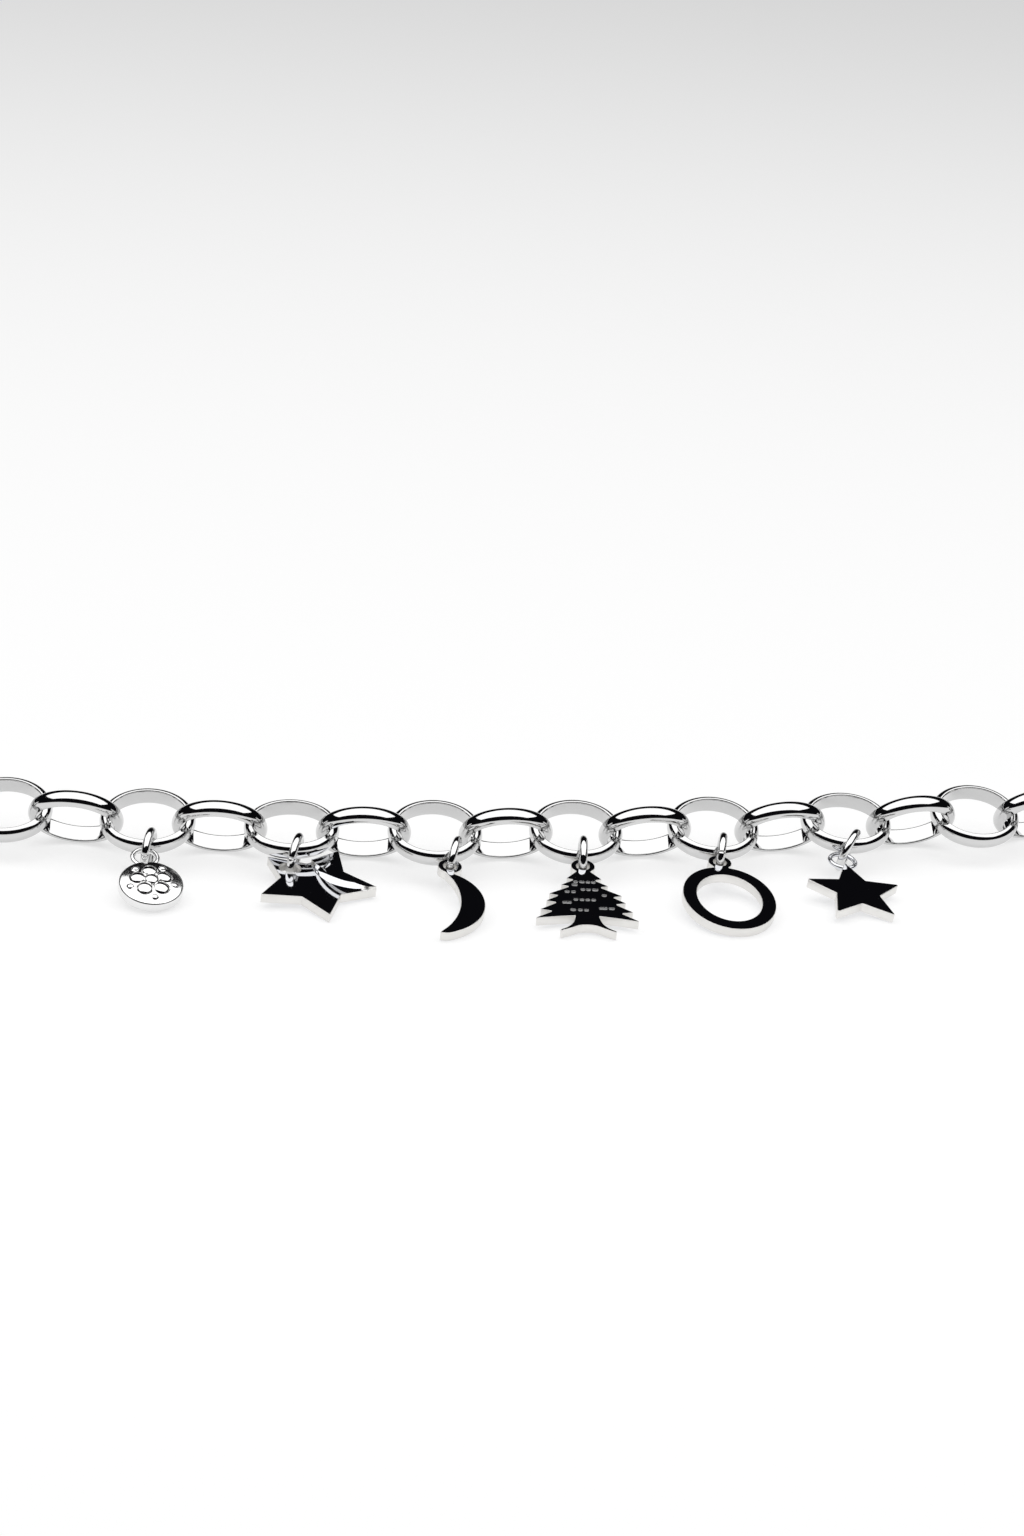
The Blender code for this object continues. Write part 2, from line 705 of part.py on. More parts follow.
def build_charm(place, mesh, frame, ring, parent, collections):
    """Builds one charm and the jump ring that holds it to its link."""
    parts, cutters = collections
    bar = near_bar_point(frame, place.shift)
    centre = Vector((bar.x, bar.y - place.pull, ring_height(place.ring_lean)))
    ring_matrix = (
        Matrix.Translation(centre)
        @ Matrix.Rotation(math.radians(place.ring_turn), 4, "Z")
        @ Matrix.Rotation(math.radians(place.ring_lean), 4, "Y")
        @ Matrix.Rotation(math.radians(90.0), 4, "Y")
    )
    ring_steel = ring.materials[0]
    name = place.name.replace("_charm", "") + "_jump_ring"
    new_part(name, ring, ring_steel, parts, parent, ring_matrix)

    drop = math.radians(place.ring_drop)
    wire_radius = 0.5 * (RING_OUTER - RING_WIRE)
    hole = ring_matrix @ Vector((wire_radius * math.sin(drop), -wire_radius * math.cos(drop), 0.0))
    level = (
        Matrix.Translation(hole)
        @ Matrix.Rotation(math.radians(place.turn), 4, "Z")
        @ Matrix.Rotation(math.radians(place.roll), 4, "Y")
    )
    tilt = angle_to_rest(mesh, lambda angle: level @ tilted(angle))
    charm_steel = steel(place.name + "_steel", place.roughness)
    charm = new_part(place.name, mesh, charm_steel, parts, parent, level @ tilted(tilt))
    finish_charm(charm, cutters)


def build_clasp(frame, ring, parent, collections):
    """Builds the clasp, flat on the surface, and the jump ring that holds it to the first link."""
    parts, cutters = collections
    end_bar = frame @ Vector((-0.5 * (LINK_LENGTH - LINK_WALL), 0.0, 0.0))
    along = frame.to_3x3() @ Vector((1.0, 0.0, 0.0))
    heading = math.atan2(along.y, along.x)
    back = Vector((-math.cos(heading), -math.sin(heading), 0.0))
    centre = Vector((end_bar.x, end_bar.y, ring_height())) + CLASP_RING_PULL * back
    ring_matrix = (
        Matrix.Translation(centre)
        @ Matrix.Rotation(heading, 4, "Z")
        @ Matrix.Rotation(math.radians(90.0), 4, "X")
    )
    new_part("clasp_jump_ring", ring, ring.materials[0], parts, parent, ring_matrix)

    wire_radius = 0.5 * (RING_OUTER - RING_WIRE)
    drop = centre.z - (CLASP_THICKNESS - 0.5 * CLASP_EYE_THICKNESS)
    eye = centre + back * math.sqrt(wire_radius**2 - drop**2)
    place = Matrix.Translation((eye.x, eye.y, FLOOR_PLAY))
    matrix = place @ Matrix.Rotation(heading - 0.5 * math.pi, 4, "Z")
    clasp = new_part("clasp", clasp_mesh(), steel("clasp_steel", CLASP_ROUGHNESS), parts, parent, matrix)
    add_operand(clasp, eye_cutter_mesh(), "DIFFERENCE", cutters)
    return clasp


def centre_on_base(root, parts):
    """Moves the whole bracelet so that the origin is the middle of its base."""
    bpy.context.view_layer.update()
    depsgraph = bpy.context.evaluated_depsgraph_get()
    corners = []
    for part in parts.objects:
        evaluated = part.evaluated_get(depsgraph)
        mesh = evaluated.to_mesh()
        corners += [part.matrix_world @ v.co for v in mesh.vertices]
        evaluated.to_mesh_clear()
    low = Vector([min(c[axis] for c in corners) for axis in range(3)])
    high = Vector([max(c[axis] for c in corners) for axis in range(3)])
    root.location = (-0.5 * (low.x + high.x), -0.5 * (low.y + high.y), -low.z)


def main():
    """Builds the bracelet."""
    clear_scene()
    parts = new_collection("charm_bracelet")
    cutters = new_collection("cutters")
    collections = (parts, cutters)
    root = bpy.data.objects.new("bracelet", None)
    bpy.context.scene.collection.objects.link(root)

    link = link_mesh()
    frames = link_frames(link)
    link_steel = steel("link_steel", LINK_ROUGHNESS)
    for order, number in enumerate(sorted(frames), start=1):
        new_part(f"link_{order:02d}", link, link_steel, parts, root, frames[number])

    ring = torus("jump_ring", RING_OUTER, RING_WIRE, RING_SEGMENTS, WIRE_SIDES)
    ring.materials.append(steel("jump_ring_steel", RING_ROUGHNESS))
    charm_meshes = {
        "round_charm": disc_mesh(),
        "star_charm": star_charm_mesh(),
        "crescent_charm": crescent_charm_mesh(),
        "tree_charm": tree_charm_mesh(),
        "hoop_charm": hoop_charm_mesh(),
        "small_star_charm": small_star_mesh(),
    }
    for place in CHARM_PLACES:
        build_charm(place, charm_meshes[place.name], frames[place.link], ring, root, collections)
    build_clasp(frames[-LINKS_EACH_SIDE], ring, root, collections)
    centre_on_base(root, parts)


main()
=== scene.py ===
"""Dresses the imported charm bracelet: polished steel links, jump rings, charms and clasp on a white floor.

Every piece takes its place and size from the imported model: a link from its node's centre and own axes, a flat
charm from the outline of its node's underside. Lengths are in metres, +Z is up.
"""

import logging
import math
from dataclasses import dataclass, field
from enum import Enum
from typing import Sequence

import bpy
import numpy as np
from mathutils import Matrix, Vector
from mathutils.geometry import delaunay_2d_cdt


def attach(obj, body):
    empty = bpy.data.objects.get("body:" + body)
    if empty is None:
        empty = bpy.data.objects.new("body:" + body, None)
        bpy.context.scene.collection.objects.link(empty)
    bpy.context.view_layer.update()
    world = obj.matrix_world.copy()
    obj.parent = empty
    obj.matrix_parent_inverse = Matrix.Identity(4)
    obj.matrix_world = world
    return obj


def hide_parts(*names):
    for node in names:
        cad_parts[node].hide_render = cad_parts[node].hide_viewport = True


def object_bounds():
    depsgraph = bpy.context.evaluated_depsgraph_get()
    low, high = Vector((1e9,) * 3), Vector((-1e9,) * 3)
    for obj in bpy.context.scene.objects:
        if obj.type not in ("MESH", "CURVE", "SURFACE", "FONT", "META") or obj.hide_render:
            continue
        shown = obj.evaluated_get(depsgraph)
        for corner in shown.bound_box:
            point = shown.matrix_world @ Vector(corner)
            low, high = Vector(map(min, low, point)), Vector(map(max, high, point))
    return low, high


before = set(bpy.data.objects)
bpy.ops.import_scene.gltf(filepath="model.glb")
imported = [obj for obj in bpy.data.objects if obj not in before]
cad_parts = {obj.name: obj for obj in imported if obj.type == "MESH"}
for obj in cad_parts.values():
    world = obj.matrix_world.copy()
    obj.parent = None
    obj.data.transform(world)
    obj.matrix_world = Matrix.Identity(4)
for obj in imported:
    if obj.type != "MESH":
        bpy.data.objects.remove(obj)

LOG = logging.getLogger("charm_bracelet")
CAD_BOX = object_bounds()
MM = 0.001

Array = np.ndarray

# Tolerances: in metres, square metres or shares

WELD_STEP = 1e-7  # points nearer to each other are one
SMALLEST_AREA = 1e-13  # a smaller triangle has no normal worth reading
SMALLEST_SQUARE = 1e-18  # the least squared length that divides another
LEVEL_STEP = 1e-5  # heights nearer to each other are one level
FLAT_MATCH = 0.9999  # the least cosine between two normals of one flat face
SHORTEST_EDGE = 0.12 * MM  # a shorter edge of a node's outline is left out
LONG_EDGE = 2.2  # an edge so many times longer than its neighbour is straight
FLAT_BEND = 1e-7  # an edge whose curve bends less is straight
ARC_STEP = math.radians(20.0)  # the most that a rounded corner turns from point to point
CORNER_ROOM = 0.45  # the most of an edge that the arc at one of its ends takes up
CLEARED_REACH = 1.3  # how many times an arc's reach is cleared of smooth points
SHARPEST_MITRE = 0.35  # limits how far a sharp corner moves when its outline is moved inwards
FILL_PLAY = 1e-7  # in millimetres, for the triangulation
PIT_DRAFT = 0.35  # how far a pit's floor stands in, in shares of its depth
PIT_SHOULDER = (0.3, 0.2)  # the bend in a pit's wall, in shares of its draft and depth


class Side(Enum):
    """The two flat faces of a plate."""

    UNDER = -1.0
    UPPER = 1.0


class Surface(Enum):
    """Where on a piece a face lies, as the number of its material."""

    FACE = 0
    EDGE = 1
    HOLLOW = 2


# Meshes


@dataclass
class Shell:
    """Vertices and faces of one or more closed surfaces.

    The faces are tuples of vertex numbers. Each face has a surface, and is shaded smooth or flat.
    """

    vertices: Array
    faces: list[tuple[int, ...]]
    surfaces: list[Surface]
    smooth: list[bool]

    @staticmethod
    def joined(shells: Sequence["Shell"]) -> "Shell":
        """Puts several shells into one.

        Args:
            shells: the shells, in order.

        Returns:
            One shell that holds them all.
        """
        faces: list[tuple[int, ...]] = []
        surfaces: list[Surface] = []
        smooth: list[bool] = []
        first = 0
        for shell in shells:
            faces += [tuple(first + v for v in face) for face in shell.faces]
            surfaces += shell.surfaces
            smooth += shell.smooth
            first += len(shell.vertices)
        return Shell(np.vstack([shell.vertices for shell in shells]), faces, surfaces, smooth)

    def placed(self, place: "Place") -> "Shell":
        """Returns the shell moved from a place's own axes into the world."""
        return Shell(place.out(self.vertices), self.faces, self.surfaces, self.smooth)

    def turned(self) -> "Shell":
        """Returns the shell with every face turned to its other side."""
        return Shell(self.vertices, [face[::-1] for face in self.faces], self.surfaces, self.smooth)

    def add(self, faces: Sequence[tuple[int, ...]], surface: Surface, is_smooth: bool) -> None:
        """Adds faces between the shell's own vertices.

        Args:
            faces: the new faces, as vertex numbers.
            surface: what they are.
            is_smooth: how they are shaded.
        """
        self.faces += faces
        self.surfaces += [surface] * len(faces)
        self.smooth += [is_smooth] * len(faces)

    def fit(self, node: str, finish: str, slot: str, materials: Sequence[bpy.types.Material]) -> None:
        """Builds a piece in the place of its node, on the one body, with its own place in its mesh.

        Args:
            node: the node that it stands for.
            finish: the word that follows the node's name in the piece's own.
            slot: not used.
            materials: one material for each surface, in the order of Surface.
        """
        name = f"{node}_{finish}"
        mesh = bpy.data.meshes.new(name)
        mesh.from_pydata(self.vertices.tolist(), [], self.faces)
        mesh.polygons.foreach_set("use_smooth", self.smooth)
        mesh.polygons.foreach_set("material_index", [surface.value for surface in self.surfaces])
        for material in materials:
            mesh.materials.append(material)
        mesh.validate()
        mesh.update()
        item = bpy.data.objects.new(name, mesh)
        bpy.context.scene.collection.objects.link(item)
        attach(item, "root")
        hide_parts(node)
        LOG.info("%s stands for %s, %d faces", name, node, len(mesh.polygons))


def grid_shell(points: Array, surface: Surface, wrap: bool = True) -> Shell:
    """Joins a grid of points into quads; the columns close into a ring, and the rows too where wrap is set.

    Args:
        points: an array of rows by columns by 3.
        surface: what the faces are.
        wrap: whether the last row meets the first.

    Returns:
        The shell; its faces point outwards where a row runs clockwise seen along the way from row to row.
    """
    rows, columns = points.shape[:2]
    numbers = np.arange(rows * columns).reshape(rows, columns)
    here = numbers if wrap else numbers[:-1]
    after = np.roll(numbers, -1, axis=0) if wrap else numbers[1:]
    quads = np.stack([here, np.roll(here, -1, axis=1), np.roll(after, -1, axis=1), after], axis=-1)
    faces = [tuple(quad) for quad in quads.reshape(-1, 4).tolist()]
    return Shell(points.reshape(-1, 3), faces, [surface] * len(faces), [True] * len(faces))


def facing_out(shell: Shell) -> Shell:
    """Turns a closed shell's faces outwards: its volume, summed over the faces, becomes positive.

    Args:
        shell: the closed shell.

    Returns:
        The shell itself, or one with every face turned.
    """
    volume = 0.0
    for size in sorted({len(face) for face in shell.faces}):
        corners = shell.vertices[np.array([face for face in shell.faces if len(face) == size])]
        volume += float((corners[:, :1] * np.cross(corners[:, 1:-1], corners[:, 2:])).sum())
    return shell if volume >= 0.0 else shell.turned()


def unit(directions: Array) -> Array:
    """Returns directions made a unit long."""
    return directions / np.linalg.norm(directions, axis=-1, keepdims=True)


def laid(direction: Array, up: Array) -> Array:
    """Returns a direction laid square to up, a unit long."""
    return unit(direction - up * (direction @ up))


@dataclass(frozen=True)
class Place:
    """A piece's own axes in the world: its origin and three unit axes, as rows."""

    origin: Array
    axes: Array

    @staticmethod
    def lying(origin: Array, along: Array, up: Array) -> "Place":
        """Returns the place whose +Y leads along one direction, with +Z up square to it."""
        return Place(origin, np.stack([np.cross(along, up), along, up]))

    def out(self, points: Array) -> Array:
        """Returns points given on these axes as world points."""
        return self.origin + points @ self.axes

    def into(self, points: Array) -> Array:
        """Returns world points on these axes."""
        return (points - self.origin) @ self.axes.T


class NodeForm:
    """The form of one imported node, read from its triangles."""

    def __init__(self, name: str) -> None:
        """Reads a node's triangles.

        Args:
            name: the node's name.
        """
        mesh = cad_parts[name].data
        mesh.calc_loop_triangles()
        raw = np.empty(3 * len(mesh.vertices))
        mesh.vertices.foreach_get("co", raw)
        corners = np.empty(3 * len(mesh.loop_triangles), dtype=np.int64)
        mesh.loop_triangles.foreach_get("vertices", corners)
        rounded = np.round(raw.reshape(-1, 3) / WELD_STEP).astype(np.int64)
        _, first, place = np.unique(rounded, axis=0, return_index=True, return_inverse=True)
        self.points = raw.reshape(-1, 3)[first]
        triangles = place.reshape(-1)[corners].reshape(-1, 3)
        a, b, c = (self.points[triangles[:, index]] for index in range(3))
        cross = np.cross(b - a, c - a)
        self.area = 0.5 * np.linalg.norm(cross, axis=1)
        kept = self.area > SMALLEST_AREA
        self.triangles = triangles[kept]
        self.area = self.area[kept]
        self.normals = cross[kept] / (2.0 * self.area[:, None])

    def own_axes(self) -> Place:
        """Returns the place at the node's middle, with its longest extent first and its shortest last."""
        centre = self.points.mean(axis=0)
        axes = np.linalg.svd(self.points - centre, full_matrices=False)[2]
        if np.linalg.det(axes) < 0.0:
            axes[2] = -axes[2]
        return Place(centre, axes)

    def up(self) -> Array:
        """Returns the upward direction of the flat faces that hold the most area."""
        weights = (np.abs(self.normals @ self.normals.T) > FLAT_MATCH) @ self.area
        best = self.normals[int(np.argmax(weights))]
        return best if best[2] > 0.0 else -best

    def farthest(self, middle: Array) -> Array:
        """Returns the way from a point to the node's farthest one."""
        ways = self.points - middle
        return ways[np.argmax(np.linalg.norm(ways, axis=1))]

    def outlines(self, up: Array, side: Side) -> list[Array]:
        """Returns the closed edges of the flat face farthest to one side, longest first.

        Args:
            up: the plate's upward direction.
            side: which flat face is read.

        Returns:
            World points of each edge, with the face on their left seen from outside it.
        """
        height = self.points @ up * side.value
        facing = self.normals @ up * side.value > FLAT_MATCH
        level = height[self.triangles].max(axis=1)
        top = level[facing].max()
        chosen = self.triangles[facing & (level > top - LEVEL_STEP)]
        follows: dict[int, int] = {}
        pairs = {(int(t[i]), int(t[(i + 1) % 3])) for t in chosen for i in range(3)}
        for start, end in pairs:
            if (end, start) not in pairs:
                follows[start] = end
        loops = []
        while follows:
            start, here = follows.popitem()
            loop = [start]
            while here != start:
                loop.append(here)
                here = follows.pop(here)
            loops.append(self.points[loop])
        return sorted(loops, key=lambda loop: -np.linalg.norm(edges_of(loop), axis=1).sum())


# Flat outlines


def edges_of(loop: Array) -> Array:
    """Returns a closed outline's edges, each from a point to the next."""
    return np.roll(loop, -1, axis=0) - loop


def turning(loop: Array) -> Array:
    """Measures how far a closed outline turns at each point.

    Args:
        loop: the outline's points, two columns.

    Returns:
        The turns in radians, left ones positive.
    """
    after = edges_of(loop)
    before = np.roll(after, 1, axis=0)
    cross = before[:, 0] * after[:, 1] - before[:, 1] * after[:, 0]
    return np.arctan2(cross, (before * after).sum(axis=1))


def rounder(loop: Array, corner: float, steps: int) -> Array:
    """Carries a smooth curve through an outline's points, and keeps its corners and straight edges.

    Each edge becomes the cubic between its ends whose slopes there are as long as the edge. At a smooth point
    the slope lies between the two edges' directions, nearer that of the shorter one, as on a circle. At a
    corner, and where an edge far longer than its neighbour ends, it is that of the edge itself.

    Args:
        loop: the outline's points, two columns.
        corner: the smallest turn that stays a corner, in radians.
        steps: how many pieces each edge is cut into.

    Returns:
        The finer outline.
    """
    edge = edges_of(loop)
    length = np.linalg.norm(edge, axis=1, keepdims=True)
    ahead = edge / length
    behind = np.roll(ahead, 1, axis=0)
    length_behind = np.roll(length, 1, axis=0)
    middle = unit(behind * length + ahead * length_behind)
    middle = np.where(length > LONG_EDGE * length_behind, ahead, middle)
    middle = np.where(length_behind > LONG_EDGE * length, behind, middle)
    sharp = (np.abs(turning(loop)) > corner)[:, None]
    start = np.where(sharp, ahead, middle) * length
    end = np.where(np.roll(sharp, -1, axis=0), ahead, np.roll(middle, -1, axis=0)) * length
    straight = (np.abs(start - edge).max(axis=1) < FLAT_BEND) & (np.abs(end - edge).max(axis=1) < FLAT_BEND)
    t = (np.arange(steps) / steps)[:, None]
    curves = loop[:, None] + (3 * t**2 - 2 * t**3) * edge[:, None]
    curves = curves + (t**3 - 2 * t**2 + t) * start[:, None] + (t**3 - t**2) * end[:, None]
    return curves[~straight[:, None] | (np.arange(steps) == 0)]


def softened(loop: Array, radius: float, corner: float) -> Array:
    """Replaces each corner of an outline by an arc that touches both of its edges.

    The arc starts at the radius times the tangent of half the turn before the corner, or at most under half
    of the shorter edge.

    Args:
        loop: the outline's points, two columns.
        radius: the arc's radius.
        corner: the smallest turn that is rounded, in radians.

    Returns:
        The outline with round corners.
    """
    loop = cleared(loop, radius, corner)
    turns = turning(loop)
    pieces = []
    for index, point in enumerate(loop):
        turn = turns[index]
        if abs(turn) < corner:
            pieces.append(point[None])
            continue
        before = point - loop[index - 1]
        after = loop[(index + 1) % len(loop)] - point
        room = CORNER_ROOM * min(np.linalg.norm(before), np.linalg.norm(after))
        reach = min(radius * math.tan(0.5 * abs(turn)), room)
        heading = before / np.linalg.norm(before)
        side = math.copysign(reach / math.tan(0.5 * abs(turn)), turn)
        start = point - heading * reach
        angles = np.linspace(0.0, turn, max(2, math.ceil(abs(turn) / ARC_STEP)) + 1)[:, None]
        left = np.array([-heading[1], heading[0]])
        pieces.append(start + side * (left * (1.0 - np.cos(angles)) + heading * np.sin(angles)))
    return np.vstack(pieces)


def cleared(loop: Array, radius: float, corner: float) -> Array:
    """Leaves out the smooth points that lie within the reach of a corner's arc.

    Args:
        loop: the outline's points, two columns.
        radius: the arcs' radius.
        corner: the smallest turn that is rounded, in radians.

    Returns:
        The outline without them.
    """
    turns = turning(loop)
    sharp = np.abs(turns) >= corner
    reach = CLEARED_REACH * radius * np.tan(0.5 * np.abs(turns[sharp]))
    away = np.linalg.norm(loop[:, None] - loop[sharp][None], axis=2)
    return loop[sharp | ~(away < reach).any(axis=1)]


def traced(flat: Array, is_hole: bool, corner: float, steps: int) -> Array:
    """Returns an outline that runs the right way round, smooth between its corners.

    Args:
        flat: the outline's points, two columns.
        is_hole: whether it runs round a hole, clockwise.
        corner: the smallest turn that stays a corner, in radians.
        steps: how many pieces each curved edge is cut into.

    Returns:
        The finer outline.
    """
    length = np.linalg.norm(flat - np.roll(flat, 1, axis=0), axis=1)
    flat = flat[length > SHORTEST_EDGE]
    after = np.roll(flat, -1, axis=0)
    area = (flat[:, 0] * after[:, 1] - flat[:, 1] * after[:, 0]).sum()
    return rounder(flat[::-1] if (area > 0.0) == is_hole else flat, corner, steps)


def inset(loop: Array, distance: float) -> Array:
    """Moves a closed outline to its left, along the bisector at each point.

    Args:
        loop: the outline's points, two columns.
        distance: how far its edges move.

    Returns:
        The moved outline.
    """
    along = unit(edges_of(loop))
    left = np.stack([-along[:, 1], along[:, 0]], axis=1)
    middle = left + np.roll(left, 1, axis=0)
    share = 2.0 / np.maximum((middle**2).sum(axis=1, keepdims=True), SHARPEST_MITRE)
    return loop + distance * middle * share


@dataclass
class Plate:
    """A flat piece between two heights, with rolled edges, through holes and shallow pits.

    The first outline runs counter-clockwise round the piece, and those of holes and pits run clockwise.
    """

    outlines: list[Array]
    bottom: float
    top: float
    upper_roll: float
    under_roll: float
    pits: list[Array] = field(default_factory=list)
    pit_depth: float = 0.0
    roll_steps: int = 4

    def rim(self) -> list[tuple[float, float]]:
        """Returns the wall's profile as pairs of inset and height, from the upper face to the lower one.

        A rolled edge is a quarter circle: the inset is the radius less its sine share, and the height drops
        by the radius less its cosine share.

        Returns:
            The pairs, the roll of an edge without a radius left out.
        """
        angles = np.linspace(0.0, 0.5 * np.pi, self.roll_steps + 1)
        quarter = [(1.0 - math.sin(angle), 1.0 - math.cos(angle)) for angle in angles]
        upper = [(self.upper_roll * side, self.top - self.upper_roll * drop) for side, drop in quarter]
        under = [(self.under_roll * side, self.bottom + self.under_roll * drop) for side, drop in quarter]
        if self.upper_roll == 0.0:
            upper = upper[:1]
        if self.under_roll == 0.0:
            under = under[:1]
        return upper + under[::-1]

    def wall(self, loop: Array, profile: Sequence[tuple[float, float]], surface: Surface) -> Shell:
        """Carries a wall profile round one outline, without its caps.

        Args:
            loop: the outline.
            profile: pairs of inset and height.
            surface: what the wall's faces are.

        Returns:
            The open wall, its rows in the profile's order.
        """
        rows = [np.column_stack([inset(loop, way), np.full(len(loop), height)]) for way, height in profile]
        return grid_shell(np.stack(rows), surface, wrap=False).turned()

    def shell(self) -> Shell:
        """Joins a wall round each outline, a cap above and below, and the pits' floors.

        Returns:
            The closed plate.
        """
        draft = PIT_DRAFT * self.pit_depth
        shoulder = (-PIT_SHOULDER[0] * draft, self.top - PIT_SHOULDER[1] * self.pit_depth)
        pit_profile = [(0.0, self.top), shoulder, (-draft, self.top - self.pit_depth)]
        walls = [self.wall(loop, self.rim(), Surface.EDGE) for loop in self.outlines]
        walls += [self.wall(loop, pit_profile, Surface.HOLLOW) for loop in self.pits]
        upper: list[Array] = []
        lower: list[Array] = []
        count = 0
        for loop, wall in zip(self.outlines + self.pits, walls):
            upper.append(count + np.arange(len(loop)))
            count += len(wall.vertices)
            lower.append(count - len(loop) + np.arange(len(loop)))
        whole = Shell.joined(walls)
        whole.add(cap(whole.vertices, upper, True), Surface.FACE, False)
        whole.add(cap(whole.vertices, lower[: len(self.outlines)], False), Surface.FACE, False)
        for floor in lower[len(self.outlines) :]:
            whole.add(cap(whole.vertices, [floor], True), Surface.HOLLOW, False)
        return whole


def within(places: Array, outline: Array) -> Array:
    """Finds the places inside an outline: those whose ray along +X crosses it an odd number of times.

    Args:
        places: the places, two columns.
        outline: the closed outline.

    Returns:
        Whether each place lies inside.
    """
    start = outline[None]
    end = np.roll(outline, -1, axis=0)[None]
    x = places[:, None, 0]
    y = places[:, None, 1]
    crosses = (start[..., 1] > y) != (end[..., 1] > y)
    rise = np.where(crosses, end[..., 1] - start[..., 1], 1.0)
    meets = start[..., 0] + (y - start[..., 1]) / rise * (end[..., 0] - start[..., 0])
    return (crosses & (x < meets)).sum(axis=1) % 2 == 1


def cap(points: Array, loops: list[Array], is_upward: bool) -> list[tuple[int, ...]]:
    """Fills the flat region inside the first outline and outside the others.

    Args:
        points: every vertex of the shell.
        loops: the vertex numbers of the outlines.
        is_upward: whether the faces look up or down.

    Returns:
        Triangles as vertex numbers, from a Delaunay triangulation that keeps the outlines' edges.
    """
    numbers = np.concatenate(loops)
    edges = []
    for loop in loops:
        first = len(edges)
        edges += [(first + step, first + (step + 1) % len(loop)) for step in range(len(loop))]
    flat = points[numbers, :2] / MM
    filled = delaunay_2d_cdt([Vector(place) for place in flat], edges, [], 1, FILL_PLAY, True)
    corners = np.array([[filled[3][corner][0] for corner in triangle] for triangle in filled[2]])
    middles = flat[corners].mean(axis=1)
    first = len(loops[0])
    kept = within(middles, flat[:first])
    for loop in loops[1:]:
        kept &= ~within(middles, flat[first : first + len(loop)])
        first += len(loop)
    corners = corners[kept]
    a, b, c = (flat[corners[:, index]] for index in range(3))
    area = (b[:, 0] - a[:, 0]) * (c[:, 1] - a[:, 1]) - (b[:, 1] - a[:, 1]) * (c[:, 0] - a[:, 0])
    turned = np.where(((area > 0.0) == is_upward)[:, None], corners, corners[:, ::-1])
    return [tuple(triangle) for triangle in numbers[turned].tolist()]


@dataclass(frozen=True)
class WireRing:
    """A ring of round wire; where it has a cut, its two ends meet at the cut's angle."""

    outer: float
    wire: float
    cut: float = 0.0
    cut_at: float = 0.0
    steps: int = 96
    sides: int = 20

    def shell(self, place: Place) -> Shell:
        """Carries a circle of the wire's radius r round a circle of radius R.

        The point at the turns u and v is ((R + r cos v) cos u, (R + r cos v) sin u, r sin v).

        Args:
            place: the ring's place; the ring is flat in the plane of its first two axes.

        Returns:
            The closed ring, in the world.
        """
        middle = 0.5 * (self.outer - self.wire)
        half = 0.5 * self.wire
        gap = self.cut / middle
        closed = self.cut == 0.0
        turns = np.linspace(0.0, 2.0 * np.pi - gap, self.steps, endpoint=not closed)
        u = (self.cut_at + 0.5 * gap + turns)[:, None]
        v = np.linspace(0.0, 2.0 * np.pi, self.sides, endpoint=False)[None, :]
        reach = middle + half * np.cos(v)
        points = np.stack([reach * np.cos(u), reach * np.sin(u), half * np.sin(v) + 0.0 * u], axis=-1)
        shell = grid_shell(points, Surface.FACE, wrap=closed)
        if not closed:
            last = (self.steps - 1) * self.sides
            ends = [tuple(range(self.sides))[::-1], tuple(range(last, last + self.sides))]
            shell.add(ends, Surface.FACE, False)
        return facing_out(shell.placed(place))


# Finishes


